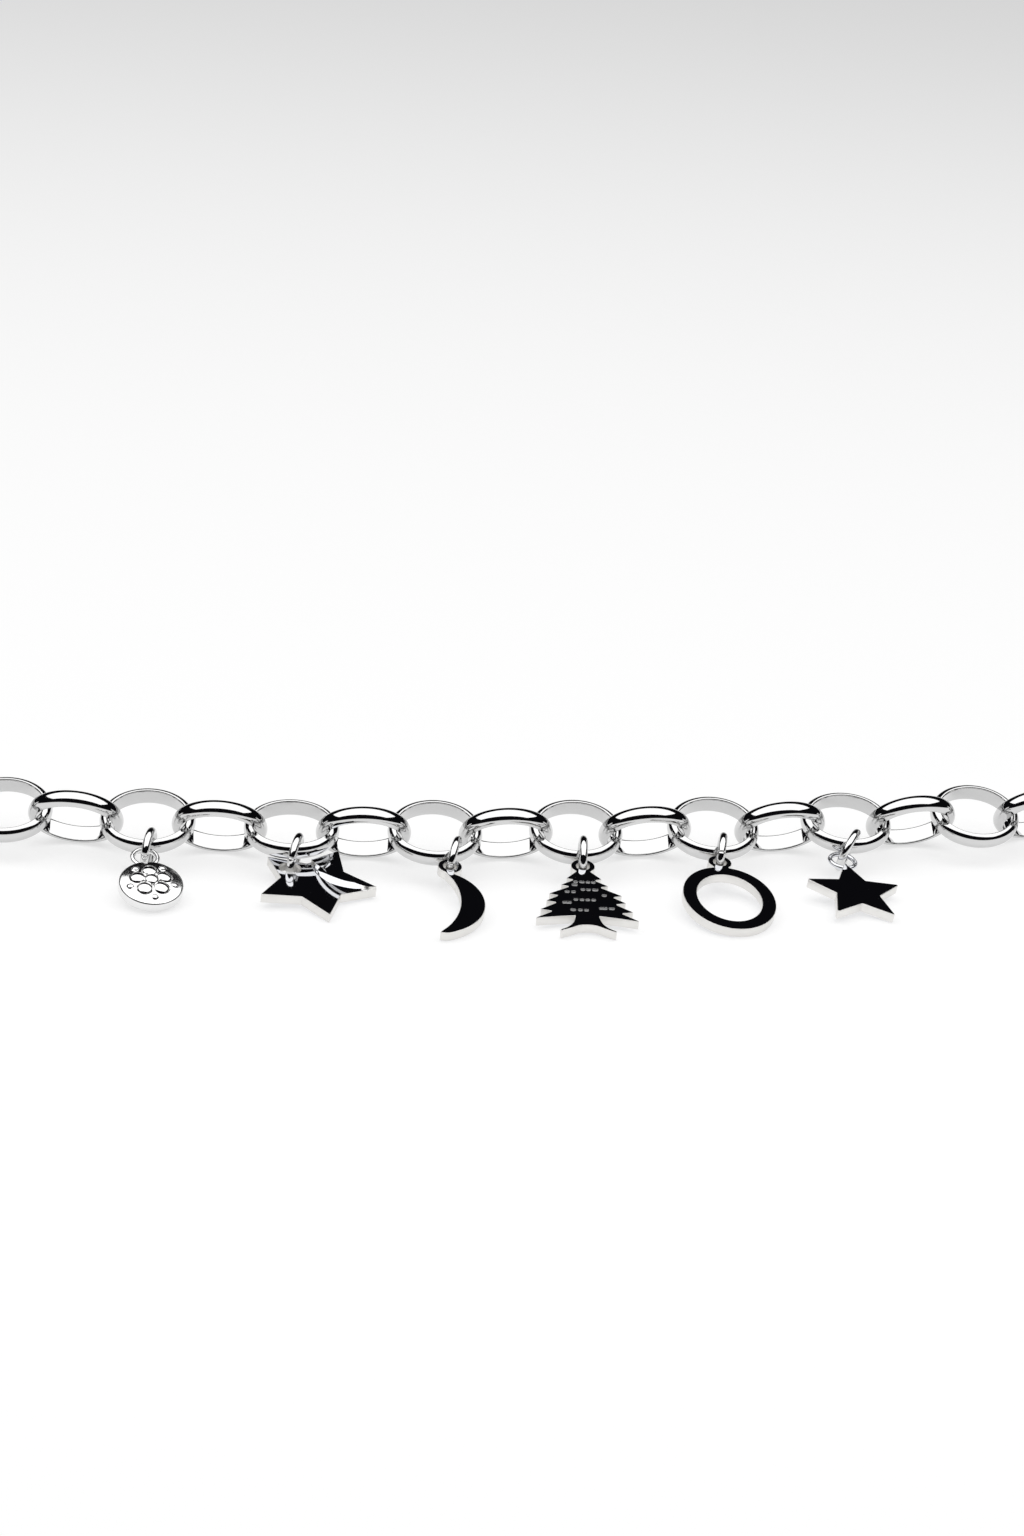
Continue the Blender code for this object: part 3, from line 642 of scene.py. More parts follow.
class MarksGroup:
    """The node group of fine marks that every steel finish shares."""

    NAME = "steel_marks"
    INPUTS = ("Wave scale", "Wave height", "Grain scale", "Grain height", "Least roughness", "Most roughness")
    OUTPUTS = ("Height", "Roughness")
    WAVE_DETAIL = 1.0
    GRAIN_DETAIL = 3.0
    MARKS_RANGE = (0.15, 0.40)

    def __init__(self) -> None:
        """Builds the group: two noises on object places, added up as a height and mixed as a roughness."""
        self.tree = bpy.data.node_groups.new(self.NAME, "ShaderNodeTree")
        self.links = self.tree.links
        for names, way in ((self.INPUTS, "INPUT"), (self.OUTPUTS, "OUTPUT")):
            for name in names:
                self.tree.interface.new_socket(name, in_out=way, socket_type="NodeSocketFloat")
        self.entry = self.tree.nodes.new("NodeGroupInput").outputs
        leave = self.tree.nodes.new("NodeGroupOutput").inputs
        place = self.tree.nodes.new("ShaderNodeTexCoord").outputs["Object"]
        wave = self.noise(place, "Wave scale", self.WAVE_DETAIL)
        grain = self.noise(place, "Grain scale", self.GRAIN_DETAIL)
        raised_wave = self.joined("MULTIPLY", wave, self.entry["Wave height"])
        raised_grain = self.joined("MULTIPLY", grain, self.entry["Grain height"])
        self.links.new(self.joined("ADD", raised_wave, raised_grain), leave["Height"])
        mixed = self.tree.nodes.new("ShaderNodeMapRange")
        self.links.new(self.joined("MULTIPLY", wave, grain), mixed.inputs["Value"])
        mixed.inputs["From Min"].default_value, mixed.inputs["From Max"].default_value = self.MARKS_RANGE
        self.links.new(self.entry["Least roughness"], mixed.inputs["To Min"])
        self.links.new(self.entry["Most roughness"], mixed.inputs["To Max"])
        self.links.new(mixed.outputs["Result"], leave["Roughness"])

    def noise(self, place: bpy.types.NodeSocket, scale: str, detail: float) -> bpy.types.NodeSocket:
        """Adds a noise.

        Args:
            place: the coordinates that it reads.
            scale: the group's input that holds its scale.
            detail: how many finer noises it adds up.

        Returns:
            The noise's value.
        """
        node = self.tree.nodes.new("ShaderNodeTexNoise")
        node.inputs["Detail"].default_value = detail
        self.links.new(place, node.inputs["Vector"])
        self.links.new(self.entry[scale], node.inputs["Scale"])
        return node.outputs["Fac"]

    def joined(self, operation: str, *values: bpy.types.NodeSocket) -> bpy.types.NodeSocket:
        """Adds a calculation.

        Args:
            operation: which one.
            values: what it reads.

        Returns:
            Its result.
        """
        node = self.tree.nodes.new("ShaderNodeMath")
        node.operation = operation
        for value, socket in zip(values, node.inputs):
            self.links.new(value, socket)
        return node.outputs[0]


@dataclass(frozen=True)
class SteelFinish:
    """One finish of the steel: its tone, how rough it is and how far that varies, and its fine marks.

    The wave is the slight unevenness that polishing leaves, and the grain the fine tooth of a cut or cast
    face. Scales are in waves or grains for each metre, and heights in metres.
    """

    name: str
    tone: tuple[float, float, float]
    roughness: float
    spread: float
    wave_scale: float
    wave_height: float
    grain_scale: float
    grain_height: float

    def material(self, marks: bpy.types.NodeTree) -> bpy.types.Material:
        """Makes the finish's material.

        Args:
            marks: the shared group of polish and grain marks.

        Returns:
            A metallic material whose roughness and normal follow the marks.
        """
        material = bpy.data.materials.new(self.name)
        material.use_nodes = True
        nodes = material.node_tree.nodes
        links = material.node_tree.links
        shader = nodes["Principled BSDF"]
        shader.inputs["Base Color"].default_value = (*self.tone, 1.0)
        shader.inputs["Metallic"].default_value = 1.0
        group = nodes.new("ShaderNodeGroup")
        group.node_tree = marks
        marks_seen = (self.wave_scale, self.wave_height, self.grain_scale, self.grain_height)
        values = (*marks_seen, self.roughness, self.roughness + self.spread)
        for name, value in zip(MarksGroup.INPUTS, values):
            group.inputs[name].default_value = value
        bump = nodes.new("ShaderNodeBump")
        bump.inputs["Distance"].default_value = 1.0
        links.new(group.outputs["Height"], bump.inputs["Height"])
        links.new(group.outputs["Roughness"], shader.inputs["Roughness"])
        links.new(bump.outputs["Normal"], shader.inputs["Normal"])
        return material


MIRROR = SteelFinish("mirror_polish", (0.66, 0.66, 0.66), 0.035, 0.03, 420.0, 1.2e-6, 9000.0, 0.0)
RING_POLISH = SteelFinish("ring_polish", (0.72, 0.72, 0.72), 0.05, 0.04, 700.0, 1.0e-6, 9000.0, 0.0)
PLATE_POLISH = SteelFinish("plate_polish", (0.72, 0.73, 0.76), 0.02, 0.03, 180.0, 1.0e-6, 9000.0, 0.0)
CUT_EDGE = SteelFinish("cut_edge", (0.80, 0.79, 0.77), 0.28, 0.14, 900.0, 1.0e-6, 6500.0, 6.0e-6)
GRAINED_EDGE = SteelFinish("grained_edge", (0.84, 0.83, 0.81), 0.30, 0.15, 1200.0, 4.0e-6, 4200.0, 2.2e-5)
CAST_STEEL = SteelFinish("cast_steel", (0.84, 0.84, 0.84), 0.09, 0.08, 1100.0, 8.0e-6, 7000.0, 1.5e-6)
PITTED_STEEL = SteelFinish("pitted_steel", (0.42, 0.42, 0.42), 0.26, 0.12, 1500.0, 3.0e-6, 7000.0, 3.0e-6)
CLASP_POLISH = SteelFinish("clasp_polish", (0.82, 0.82, 0.83), 0.08, 0.06, 500.0, 1.5e-6, 9000.0, 0.0)


class Finishes:
    """Every finish's material, made once."""

    def __init__(self) -> None:
        """Starts with the shared group and no materials."""
        self.marks = MarksGroup().tree
        self.made: dict[str, bpy.types.Material] = {}

    def __call__(self, *finishes: SteelFinish) -> list[bpy.types.Material]:
        """Makes the materials that aren't there yet.

        Args:
            finishes: the finishes of a piece.

        Returns:
            Their materials, in order.
        """
        for finish in finishes:
            if finish.name not in self.made:
                self.made[finish.name] = finish.material(self.marks)
        return [self.made[finish.name] for finish in finishes]


# The bracelet's pieces


@dataclass
class Chain:
    """The chain: domed oval links with flat inner faces.

    The lip is the share of half the band over which an edge is rounded, and its curve's handles are shares of
    that. Points within the end share of a link's half width are at its ends.
    """

    finishes: Finishes
    round_steps: int = 120
    dome_steps: int = 17
    dome_end: float = math.radians(75.0)
    lip: float = 0.26
    lip_steps: int = 6
    lip_handles: tuple[float, float] = (0.5, 0.55)
    end_share: float = 0.1
    count: int = 23

    def section(self, wall: float, half: float) -> Array:
        """Returns a link's section as pairs of outward and sideways distance.

        The dome is an ellipse of the wall by half the band. From its end a cubic curve, which leaves along
        the ellipse and arrives square to the flat inner face, rounds the edge.

        Args:
            wall: the link's wall.
            half: half its band.

        Returns:
            The section's points in order, two columns.
        """
        turns = np.linspace(-self.dome_end, self.dome_end, self.dome_steps)
        dome = np.stack([wall * np.cos(turns), half * np.sin(turns)], axis=1)
        lip = self.lip * half
        leaving = unit(np.array([-wall * math.sin(self.dome_end), half * math.cos(self.dome_end)]))
        foot = np.array([0.0, half - lip])
        arriving = np.array([0.0, self.lip_handles[1] * lip])
        t = np.linspace(0.0, 1.0, self.lip_steps + 1)[1:, None]
        control = (dome[-1], dome[-1] + self.lip_handles[0] * lip * leaving, foot + arriving, foot)
        weights = ((1 - t) ** 3, 3 * t * (1 - t) ** 2, 3 * t**2 * (1 - t), t**3)
        edge = sum(weight * point for weight, point in zip(weights, control))
        return np.vstack([dome, edge, (edge * [1.0, -1.0])[::-1]])

    def link(self, name: str) -> Shell:
        """Carries a link's section round an oval, square to it.

        The oval's point at the turn u is (a cos u, b sin u), and its outward direction is (b cos u, a sin u)
        made a unit long.

        Args:
            name: the link's node.

        Returns:
            The closed link, in the world.
        """
        form = NodeForm(name)
        place = form.own_axes()
        local = np.abs(place.into(form.points))
        length, width, half = local.max(axis=0)
        ends = local[local[:, 1] < self.end_share * width]
        wall = length - ends[:, 0].min()
        a = length - wall
        b = width - wall
        u = np.linspace(0.0, 2.0 * np.pi, self.round_steps, endpoint=False)
        oval = np.stack([a * np.cos(u), b * np.sin(u)], axis=1)
        outward = unit(np.stack([b * np.cos(u), a * np.sin(u)], axis=1))
        section = self.section(wall, half)
        flat = oval[:, None, :] + outward[:, None, :] * section[None, :, :1]
        side = np.broadcast_to(section[None, :, 1:], flat.shape[:2] + (1,))
        return facing_out(grid_shell(np.concatenate([flat, side], axis=2), Surface.FACE).placed(place))

    def build(self) -> None:
        """Builds every link."""
        for number in range(1, self.count + 1):
            node = f"link_{number:02d}"
            self.link(node).fit(node, "polished", "link_steel", self.finishes(MIRROR))


@dataclass
class JumpRings:
    """The wire rings that hold the charms and the clasp, each with a fine cut."""

    finishes: Finishes
    cut: float = 0.03 * MM
    cut_at: float = math.radians(200.0)
    holds: tuple[str, ...] = ("round", "star", "crescent", "tree", "hoop", "small_star", "clasp")

    def ring(self, name: str) -> Shell:
        """Reads a ring's outer size and wire from its node.

        Args:
            name: the ring's node.

        Returns:
            The closed ring, in the world.
        """
        form = NodeForm(name)
        place = form.own_axes()
        local = place.into(form.points)
        reach = np.linalg.norm(local[:, :2], axis=1)
        wire = reach.max() - reach.min()
        return WireRing(2.0 * reach.max(), wire, self.cut, self.cut_at).shell(place)

    def build(self) -> None:
        """Builds every jump ring."""
        for held in self.holds:
            node = f"{held}_jump_ring"
            self.ring(node).fit(node, "wire", "jump_ring_steel", self.finishes(RING_POLISH))


@dataclass
class PlateNode:
    """A flat charm as its node gives it: its own axes, outlines and heights.

    The origin is the middle of its eyelet hole, the shortest of its outlines. +Y leads from the body to the
    hole, and +Z is its upper face.
    """

    name: str
    corner: float = math.radians(40.0)
    steps: int = 5

    def __post_init__(self) -> None:
        """Reads the node."""
        form = NodeForm(self.name)
        up = form.up()
        world = form.outlines(up, Side.UNDER)
        heights = form.points @ up
        body = world[0].mean(axis=0)
        middle = world[-1].mean(axis=0)
        level = 0.5 * (heights.min() + heights.max())
        origin = middle + up * (level - middle @ up)
        self.form = form
        self.up = up
        self.place = Place.lying(origin, laid(middle - body, up), up)
        self.bottom = float(heights.min() - level)
        self.top = float(heights.max() - level)
        self.outlines = [self.fine(loop, index > 0) for index, loop in enumerate(world)]

    def fine(self, world: Array, is_hole: bool) -> Array:
        """Returns a world outline on the plate's axes, smooth between its corners and the right way round."""
        return traced(self.place.into(world)[:, :2], is_hole, self.corner, self.steps)


@dataclass
class FlatCharm:
    """A mirror polished flat charm with bright cut edges."""

    finishes: Finishes
    name: str
    slot: str
    edge_finish: SteelFinish = CUT_EDGE
    corner_radius: float = 0.08 * MM
    roll: float = 0.05 * MM

    def outlines(self, plate: PlateNode) -> list[Array]:
        """Returns the plate's outlines with round corners."""
        return [softened(loop, self.corner_radius, plate.corner) for loop in plate.outlines]

    def shells(self, plate: PlateNode) -> list[Shell]:
        """Returns the charm's closed surfaces on the plate's axes."""
        return [Plate(self.outlines(plate), plate.bottom, plate.top, self.roll, self.roll).shell()]

    def build(self) -> None:
        """Builds the charm."""
        plate = PlateNode(self.name)
        shell = Shell.joined(self.shells(plate)).placed(plate.place)
        materials = self.finishes(PLATE_POLISH, self.edge_finish, PITTED_STEEL)
        shell.fit(self.name, "polished", self.slot, materials)


@dataclass
class SteppedStar(FlatCharm):
    """The large star: part of its face is raised, with a sloping edge that is widest in its middle."""

    slope_width: float = 0.85 * MM
    slope_share: float = 1.8
    slope_narrowing: float = 0.5
    slope_step: float = 0.22 * MM
    steep_width: float = 0.42 * MM
    step_height: float = 0.30 * MM
    sunk: float = 0.02 * MM

    def shells(self, plate: PlateNode) -> list[Shell]:
        """Makes the star and its raised part, whose edge slopes where it runs inside the star's outline.

        Args:
            plate: the star as its node gives it.

        Returns:
            The two closed shells, on the plate's axes.
        """
        low = plate.top - self.step_height
        star = self.outlines(plate)
        raised = plate.fine(plate.form.outlines(plate.up, Side.UPPER)[0], is_hole=False)
        base = Plate(star, plate.bottom, low, self.roll, self.roll).shell()
        return [base, self.raised(raised, star[0], low, plate.top)]

    def raised(self, loop: Array, star: Array, low: float, top: float) -> Shell:
        """Returns the raised part as a closed shell.

        Its top stands back from its foot by the slope's width. Towards the star's outline the width falls to
        nothing with the foot's distance to the outline, and nowhere faster than the slope can narrow. Where
        the slope gets narrow it is as steep as the star's walls, and has their finish.

        Args:
            loop: the foot's outline.
            star: the star's outline.
            low: the height of the foot.
            top: the height of the raised face.

        Returns:
            The closed shell, on the plate's axes.
        """
        dense = densified(loop, self.slope_step)
        count = len(dense)
        gap = distance_to_outline(dense, star)
        width = eased(np.minimum(self.slope_width, self.slope_share * gap), dense, self.slope_narrowing)
        foot = inset(dense, self.sunk)
        inward = unit(inset(dense, self.sunk + self.slope_step) - foot) * width[:, None]
        levels = ((1.0, top), (0.5, 0.5 * (top + low)), (0.0, low), (0.0, low - self.sunk))
        rows = [np.column_stack([foot + part * inward, np.full(count, height)]) for part, height in levels]
        shell = grid_shell(np.stack(rows), Surface.FACE, wrap=False).turned()
        polished = np.tile(np.minimum(width, np.roll(width, -1)) > self.steep_width, len(levels) - 1)
        shell.surfaces = [Surface.FACE if bright else Surface.EDGE for bright in polished]
        shell.smooth = (polished & (np.arange(len(polished)) < 2 * count)).tolist()
        for first, is_upward in ((0, True), (3 * count, False)):
            shell.add(cap(shell.vertices, [first + np.arange(count)], is_upward), Surface.FACE, False)
        return shell


def eased(width: Array, loop: Array, most: float) -> Array:
    """Keeps a width along a closed outline from changing faster than a share of the way along it.

    The eased width is the least, over all the points, of the width there plus the share of the way to there.

    Args:
        width: the width wanted at each point.
        loop: the outline's points.
        most: the share.

    Returns:
        The widths, lowered where they changed too fast.
    """
    steps = np.linalg.norm(edges_of(loop), axis=1)
    where = np.cumsum(steps) - steps
    apart = np.abs(where[:, None] - where)
    apart = np.minimum(apart, steps.sum() - apart)
    return (width + most * apart).min(axis=1)


def densified(loop: Array, step: float) -> Array:
    """Cuts each edge of a closed outline into equal pieces.

    Args:
        loop: the outline's points, two columns.
        step: the longest that a piece may be.

    Returns:
        The finer outline.
    """
    after = np.roll(loop, -1, axis=0)
    pieces = []
    for start, end in zip(loop, after):
        count = max(1, math.ceil(np.linalg.norm(end - start) / step))
        pieces.append(start + (end - start) * (np.arange(count) / count)[:, None])
    return np.vstack(pieces)


def distance_to_outline(points: Array, outline: Array) -> Array:
    """Measures how near points lie to an outline.

    Args:
        points: the points, two columns.
        outline: the closed outline.

    Returns:
        Each point's distance to the nearest edge.
    """
    along = edges_of(outline)
    offset = points[:, None] - outline
    squares = np.maximum((along**2).sum(axis=1), SMALLEST_SQUARE)
    share = np.clip((offset * along).sum(axis=2) / squares, 0.0, 1.0)
    return np.linalg.norm(offset - share[..., None] * along, axis=2).min(axis=1)


@dataclass(frozen=True)
class PitRow:
    """A row of pits across the tree: how far down it lies, and its pits as (middle, length) pairs.

    The way down is a share of the body's height, and the middles, to the right, and lengths are shares of its
    half width.
    """

    down: float
    pits: tuple[tuple[float, float], ...]


@dataclass
class PittedTree(FlatCharm):
    """The layered tree, with rows of small shallow pits across its face."""

    pit_width: float = 0.46 * MM
    pit_depth: float = 0.16 * MM
    pit_steps: int = 8
    least_slot: float = 0.15
    neck: float = 1.135 * MM
    rows: tuple[PitRow, ...] = (
        PitRow(0.170, ((-0.175, 0.09), (-0.05, 0.12), (0.07, 0.09), (0.175, 0.09))),
        PitRow(0.223, ((-0.20, 0.13),)),
        PitRow(0.300, ((-0.045, 0.09), (0.065, 0.09), (0.20, 0.14))),
        PitRow(0.345, ((-0.36, 0.11), (-0.235, 0.10))),
        PitRow(0.390, ((0.37, 0.11),)),
        PitRow(0.475, ((-0.20, 0.09), (-0.08, 0.10), (0.035, 0.09), (0.15, 0.09))),
        PitRow(0.530, ((-0.38, 0.20),)),
        PitRow(0.610, ((0.325, 0.18), (0.49, 0.13))),
        PitRow(0.650, ((-0.27, 0.12), (-0.13, 0.09), (-0.01, 0.10))),
    )

    def pit(self, middle: Array, length: float) -> Array:
        """Draws a slot with round ends.

        Args:
            middle: its middle, two columns.
            length: its length from end to end.

        Returns:
            Its outline, clockwise.
        """
        half = 0.5 * self.pit_width
        reach = max(0.5 * length - half, self.least_slot * half)
        turns = np.linspace(0.5 * np.pi, -0.5 * np.pi, self.pit_steps)
        right = np.stack([reach + half * np.cos(turns), half * np.sin(turns)], axis=1)
        return middle + np.vstack([right, -right])

    def shells(self, plate: PlateNode) -> list[Shell]:
        """Cuts the pits into the tree's upper face.

        Args:
            plate: the tree as its node gives it.

        Returns:
            The one closed shell, on the plate's axes.
        """
        outlines = self.outlines(plate)
        body = outlines[0]
        half_width = np.abs(body[:, 0]).max()
        height = -body[:, 1].min() - self.neck
        pits = [
            self.pit(np.array([middle * half_width, -self.neck - row.down * height]), length * half_width)
            for row in self.rows
            for middle, length in row.pits
        ]
        plate_form = Plate(outlines, plate.bottom, plate.top, self.roll, self.roll, pits, self.pit_depth)
        return [plate_form.shell()]


@dataclass
class EyeletCharm:
    """What the two cast charms share: a body below a wire eyelet in the body's own plane."""

    finishes: Finishes
    name: str
    slot: str
    eyelet_clearance: float = 0.3 * MM

    def eyelet(self, form: NodeForm, place: Place, radius: float) -> Shell:
        """Returns the wire eyelet, read from the node's points beyond the body's reach.

        Args:
            form: the charm's node.
            place: the body's place, whose +Y leads to the eyelet.
            radius: how far the body itself reaches.

        Returns:
            The eyelet, in the world.
        """
        local = place.into(form.points)
        x, y, z = local[local[:, 1] > radius + self.eyelet_clearance].T
        outer = 2.0 * np.abs(x).max()
        centre = place.out(np.array([0.0, y.max() - 0.5 * outer, 0.5 * (z.max() + z.min())]))
        return WireRing(outer, z.max() - z.min(), steps=64, sides=16).shell(Place(centre, place.axes))


@dataclass
class SmallStar(EyeletCharm):
    """The small star: a mirror face, grained edges and a wire eyelet on its upper arm."""

    corner: float = math.radians(30.0)
    corner_radius: float = 0.16 * MM
    roll: float = 0.06 * MM

    def build(self) -> None:
        """Builds the small star, whose edges between its corners are straight."""
        form = NodeForm(self.name)
        up = form.up()
        outline = form.outlines(up, Side.UNDER)[0]
        middle = outline.mean(axis=0)
        tips = outline - middle
        along = laid(tips[np.argmax(tips @ laid(form.farthest(middle), up))], up)
        heights = (form.points - middle) @ up
        half = 0.5 * float(heights.max() - heights.min())
        place = Place.lying(middle + up * (heights.min() + half), along, up)
        flat = traced(place.into(outline)[:, :2], False, self.corner, 1)
        star = softened(flat, self.corner_radius, self.corner)
        body = Plate([star], -half, half, self.roll, self.roll).shell().placed(place)
        ring = self.eyelet(form, place, np.linalg.norm(tips, axis=1).max())
        materials = self.finishes(PLATE_POLISH, GRAINED_EDGE)
        Shell.joined([body, ring]).fit(self.name, "polished", self.slot, materials)


@dataclass(frozen=True)
class BossRing:
    """A ring of like bosses on the round charm, in shares of its radius and thickness."""

    count: int
    out: float
    radius: float
    height: float
    turn: float = 0.0


@dataclass
class RoundCharm(EyeletCharm):
    """The cast round charm: a blossom of raised bosses on a low dome with a rounded edge.

    Points past the far share of the node's farthest way out are the eyelet's, and those past the wall share
    of the radius are the wall's or the eyelet's.
    """

    dome_drop: float = 0.24
    edge_rounding: float = 0.30 * MM
    edge_steps: int = 6
    solid_bevel: float = 0.25 * MM
    far_share: float = 0.9
    wall_share: float = 0.98
    rings: int = 70
    spokes: int = 200
    bosses: tuple[BossRing, ...] = (
        BossRing(1, 0.0, 0.24, 0.32),
        BossRing(5, 0.44, 0.25, 0.25, 90.0),
        BossRing(5, 0.72, 0.11, 0.15, 54.0),
    )

    def relief(self, x: Array, y: Array, radius: float, thickness: float) -> Array:
        """Returns the upper face's height above the disc's flat top.

        The dome falls with the square of the way out. Each boss is a flattened ball that stands on it, and
        the highest of them counts where two overlap.

        Args:
            x: the places to the right of the middle.
            y: the places towards the eyelet.
            radius: the disc's radius.
            thickness: its thickness.

        Returns:
            The height at each place.
        """
        dome = -thickness * self.dome_drop * (x * x + y * y) / (radius * radius)
        height = dome
        for row in self.bosses:
            out = row.out * radius
            for index in range(row.count):
                turn = math.radians(row.turn + 360.0 * index / row.count)
                away = np.hypot(x - out * math.cos(turn), y - out * math.sin(turn))
                ball = np.sqrt(np.clip(1.0 - (away / (row.radius * radius)) ** 2, 0.0, 1.0))
                height = np.maximum(height, dome + thickness * row.height * ball)
        return height

    def disc(self, place: Place, radius: float, thickness: float) -> Shell:
        """Returns the disc: a polar grid for its upper face, a rounded wall and a flat underside.

        The point at the share s of the radius R and the turn u is (s R cos u, s R sin u, height there).

        Args:
            place: the disc's place, its origin in the disc's middle.
            radius: its radius.
            thickness: its thickness without the relief.

        Returns:
            The closed disc, in the world.
        """
        turns = np.linspace(0.0, 2.0 * np.pi, self.spokes, endpoint=False)
        inner = radius - self.edge_rounding
        shares = np.linspace(0.0, 1.0, self.rings)[1:]
        angles = np.linspace(0.0, 0.5 * np.pi, self.edge_steps + 1)[1:]
        out = inner + self.edge_rounding * np.sin(angles)
        drop = self.edge_rounding * (1.0 - np.cos(angles))
        reach = np.concatenate([shares * inner, out, out[::-1], [inner]])
        x = np.outer(reach, np.cos(turns))
        y = np.outer(reach, np.sin(turns))
        z = 0.5 * thickness + self.relief(x, y, radius, thickness)
        rim = z[len(shares) - 1].mean()
        foot = -0.5 * thickness
        z[len(shares) :] = np.concatenate([rim - drop, foot + drop[::-1], [foot]])[:, None]
        shell = grid_shell(np.stack([x, y, z], axis=-1), Surface.FACE, wrap=False)
        middle = len(shell.vertices)
        top = 0.5 * thickness + float(self.relief(np.zeros(1), np.zeros(1), radius, thickness)[0])
        shell.vertices = np.vstack([shell.vertices, [[0.0, 0.0, top], [0.0, 0.0, foot]]])
        here = np.arange(self.spokes)
        after = np.roll(here, -1)
        last = middle - self.spokes
        upper = np.stack([np.full_like(here, middle), after, here], axis=1)
        under = np.stack([np.full_like(here, middle + 1), last + here, last + after], axis=1)
        shell.add([tuple(face) for face in np.vstack([upper, under]).tolist()], Surface.FACE, True)
        return facing_out(shell.placed(place))

    def build(self) -> None:
        """Builds the round charm."""
        form = NodeForm(self.name)
        outline = form.outlines(form.up(), Side.UNDER)[0]
        middle = outline.mean(axis=0)
        normal = np.linalg.svd(outline - middle, full_matrices=False)[2][2]
        up = normal if normal[2] > 0.0 else -normal
        radius = np.linalg.norm(outline - middle, axis=1).mean() + self.solid_bevel
        ways = form.points - middle
        far = form.farthest(middle)
        along = laid(ways[ways @ far > self.far_share * (far @ far)].mean(axis=0), up)
        is_wall = (np.linalg.norm(ways, axis=1) > self.wall_share * radius) & (ways @ along < 0.5 * radius)
        levels = ways[is_wall] @ up
        thickness = float(levels.max() + levels.min())
        place = Place.lying(middle + up * 0.5 * thickness, along, up)
        body = self.disc(place, radius, thickness)
        shell = Shell.joined([body, self.eyelet(form, place, radius)])
        shell.fit(self.name, "cast", self.slot, self.finishes(CAST_STEEL))


@dataclass
class Clasp:
    """The clasp at the chain's end: one plain pear-shaped piece with a slot and a thinner eye."""

    finishes: Finishes
    name: str = "clasp"
    upper_roll: float = 0.26 * MM
    under_roll: float = 0.12 * MM
    corner_radius: float = 0.30 * MM
    corner: float = math.radians(45.0)
    steps: int = 4

    def build(self) -> None:
        """Builds the clasp as two plates that meet at the eye's underside."""
        form = NodeForm(self.name)
        up = form.up()
        east = np.array([1.0, 0.0, 0.0])
        upper = form.outlines(up, Side.UPPER)
        place = Place(upper[0].mean(axis=0), np.stack([east, np.cross(up, east), up]))
        heights = place.into(form.points)[:, 2]
        eye = float(np.unique(np.round(heights / LEVEL_STEP))[1] * LEVEL_STEP)
        shells = []
        for loops, bottom, top, upper_roll, under_roll in (
            (upper, eye, float(heights.max()), self.upper_roll, 0.0),
            (form.outlines(up, Side.UNDER), float(heights.min()), eye, 0.0, self.under_roll),
        ):
            fine = [
                traced(place.into(loop)[:, :2], index > 0, self.corner, self.steps)
                for index, loop in enumerate(loops)
            ]
            flat = [softened(loop, self.corner_radius, self.corner) for loop in fine]
            shells.append(Plate(flat, bottom, top, upper_roll, under_roll).shell())
        materials = self.finishes(CLASP_POLISH, CLASP_POLISH, CLASP_POLISH)
        Shell.joined(shells).placed(place).fit(self.name, "polished", "clasp_steel", materials)


# The studio


@dataclass(frozen=True)
class PhotoView:
    """The photograph's view of the bracelet, whose middle link is at the anchor, in the photograph's pixels."""

    elevation: float = math.radians(24.0)
    roll: float = math.radians(4.0)
    distance: float = 300.0 * MM
    pixels_per_metre: float = 9500.0
    width: int = 1024
    height: int = 1536
    anchor: tuple[float, float] = (505.7, 833.5)
    sensor: float = 36.0
    middle_link: str = "link_12"
    clip: tuple[float, float] = (0.01, 10.0)

    def build(self) -> None:
        """Makes the camera.

        It looks along +Y and down by the elevation, and is rolled about its own axis. Its place follows from
        the ray through the anchor, which meets the middle link's centre at the distance.
        """
        rise = np.array([0.0, math.sin(self.elevation), math.cos(self.elevation)])
        ahead = np.array([0.0, math.cos(self.elevation), -math.sin(self.elevation)])
        east = np.array([1.0, 0.0, 0.0])
        right = math.cos(self.roll) * east + math.sin(self.roll) * rise
        up = -math.sin(self.roll) * east + math.cos(self.roll) * rise
        focal = self.pixels_per_metre * self.distance
        across = (self.anchor[0] - 0.5 * self.width) / focal
        down = (self.anchor[1] - 0.5 * self.height) / focal
        middle = NodeForm(self.middle_link).own_axes().origin
        eye = middle - (ahead + right * across - up * down) * self.distance
        data = bpy.data.cameras.new("photo_camera")
        data.sensor_width = self.sensor
        data.lens = focal * self.sensor / self.height
        data.clip_start, data.clip_end = self.clip
        camera = bpy.data.objects.new("photo_camera", data)
        camera.matrix_world = Matrix(np.column_stack([right, up, -ahead, eye]).tolist()).to_4x4()
        bpy.context.scene.collection.objects.link(camera)
        bpy.context.scene.camera = camera


@dataclass(frozen=True)
class Lamp:
    """A soft box over the floor: its place, its size across and along, and its power."""

    name: str
    place: tuple[float, float, float]
    aim: tuple[float, float, float]
    across: float
    along: float
    power: float

    def build(self) -> None:
        """Makes the lamp, turned to its aim."""
        data = bpy.data.lights.new(self.name, "AREA")
        data.shape = "RECTANGLE"
        data.size = self.across
        data.size_y = self.along
        data.energy = self.power
        item = bpy.data.objects.new(self.name, data)
        item.location = self.place
        item.rotation_euler = (Vector(self.aim) - Vector(self.place)).to_track_quat("-Z", "Y").to_euler()
        bpy.context.scene.collection.objects.link(item)


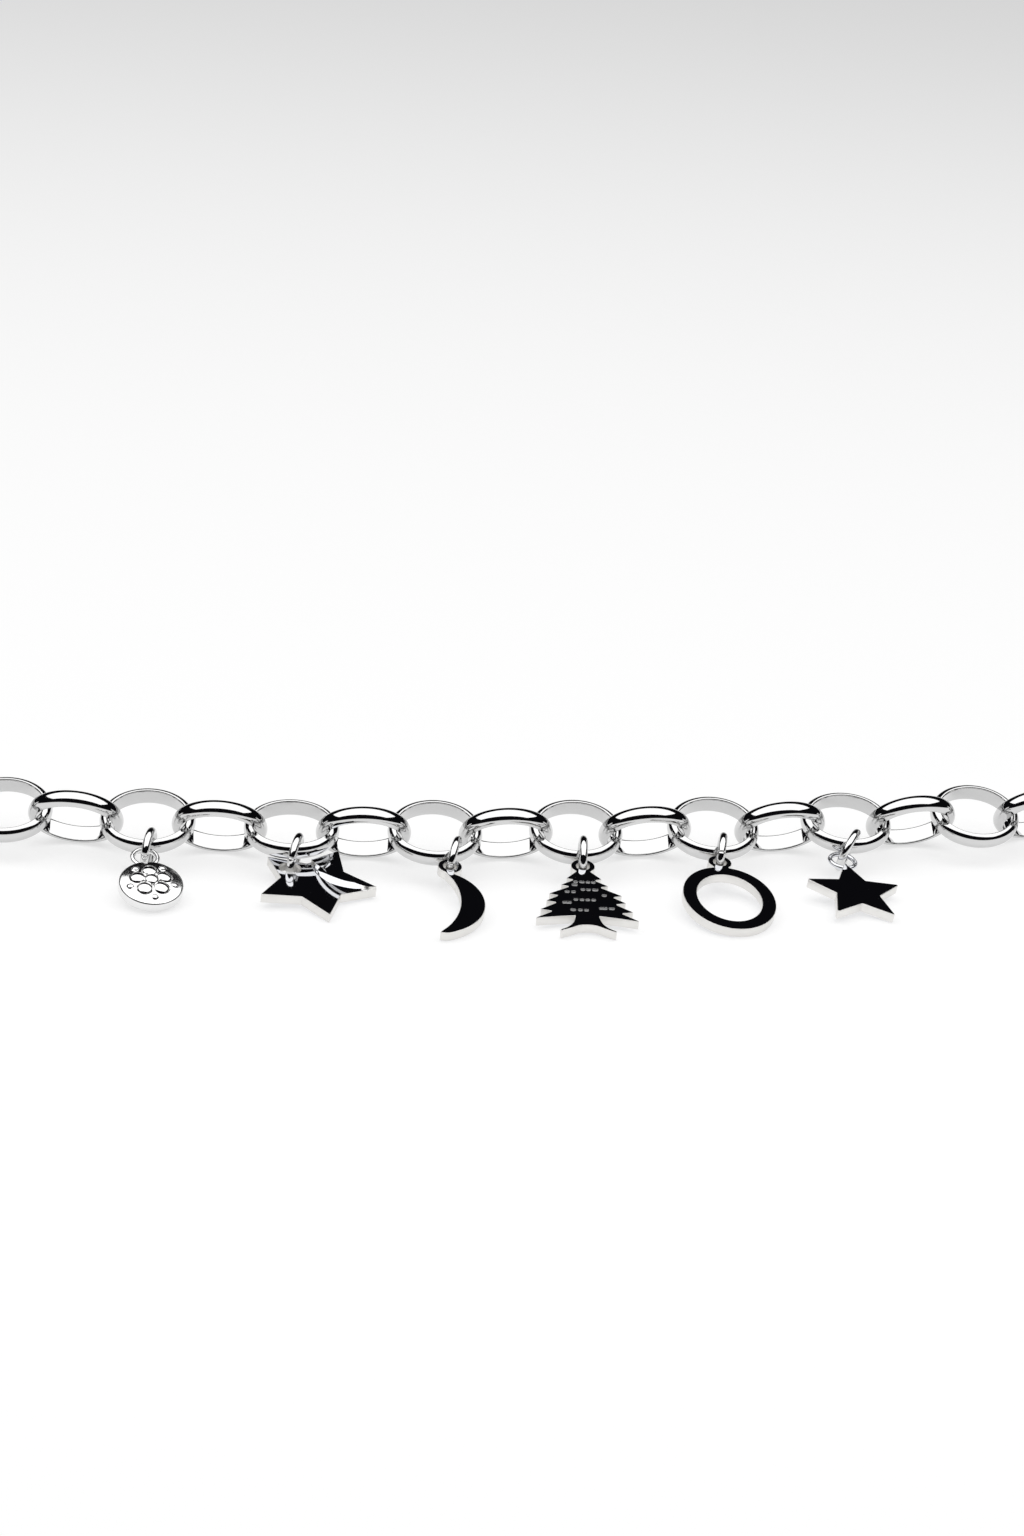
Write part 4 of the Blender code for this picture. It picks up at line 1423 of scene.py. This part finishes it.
@dataclass
class Studio:
    """The white floor, its light and a dark room round it."""

    view: PhotoView = PhotoView()
    floor_size: float = 6.0
    floor_gap: float = 0.05 * MM
    floor_tone: float = 0.45
    floor_roughness: float = 0.9
    glow: float = 0.585
    room: tuple[float, float, float] = (0.004, 0.004, 0.005)
    lamps: tuple[Lamp, ...] = (
        Lamp("overhead_box", (0.0, -0.045, 0.42), (0.0, -0.045, 0.0), 1.30, 0.70, 4.5),
    )

    def floor(self) -> None:
        """Makes the floor: a pale sheet that glows, so that shadows on it stay faint."""
        half = 0.5 * self.floor_size
        level = CAD_BOX[0][2] - self.floor_gap
        corners = [(-half, -half, level), (half, -half, level), (half, half, level), (-half, half, level)]
        mesh = bpy.data.meshes.new("white_floor")
        mesh.from_pydata(corners, [], [(0, 1, 2, 3)])
        item = bpy.data.objects.new("white_floor", mesh)
        bpy.context.scene.collection.objects.link(item)
        material = bpy.data.materials.new("white_floor")
        material.use_nodes = True
        shader = material.node_tree.nodes["Principled BSDF"]
        shader.inputs["Base Color"].default_value = (self.floor_tone, self.floor_tone, self.floor_tone, 1.0)
        shader.inputs["Roughness"].default_value = self.floor_roughness
        shader.inputs["Emission Color"].default_value = (1.0, 1.0, 1.0, 1.0)
        shader.inputs["Emission Strength"].default_value = self.glow
        mesh.materials.append(material)

    def build(self) -> None:
        """Makes the floor, the room, the lamps and the camera."""
        self.floor()
        world = bpy.data.worlds.new("dark_room")
        bpy.context.scene.world = world
        world.use_nodes = True
        world.node_tree.nodes["Background"].inputs["Color"].default_value = (*self.room, 1.0)
        for lamp in self.lamps:
            lamp.build()
        self.view.build()
        bpy.context.scene.view_settings.view_transform = "Standard"


def main() -> None:
    """Builds the bracelet's pieces in order, then the studio."""
    logging.basicConfig(level=logging.INFO, format="%(message)s")
    finishes = Finishes()
    Chain(finishes).build()
    JumpRings(finishes).build()
    RoundCharm(finishes, "round_charm", "round_charm_steel").build()
    SteppedStar(finishes, "star_charm", "star_charm_steel").build()
    FlatCharm(finishes, "crescent_charm", "crescent_charm_steel").build()
    PittedTree(finishes, "tree_charm", "tree_charm_steel").build()
    FlatCharm(finishes, "hoop_charm", "hoop_charm_steel").build()
    SmallStar(finishes, "small_star_charm", "small_star_charm_steel").build()
    Clasp(finishes).build()
    Studio().build()


if __name__ == "__main__":
    main()
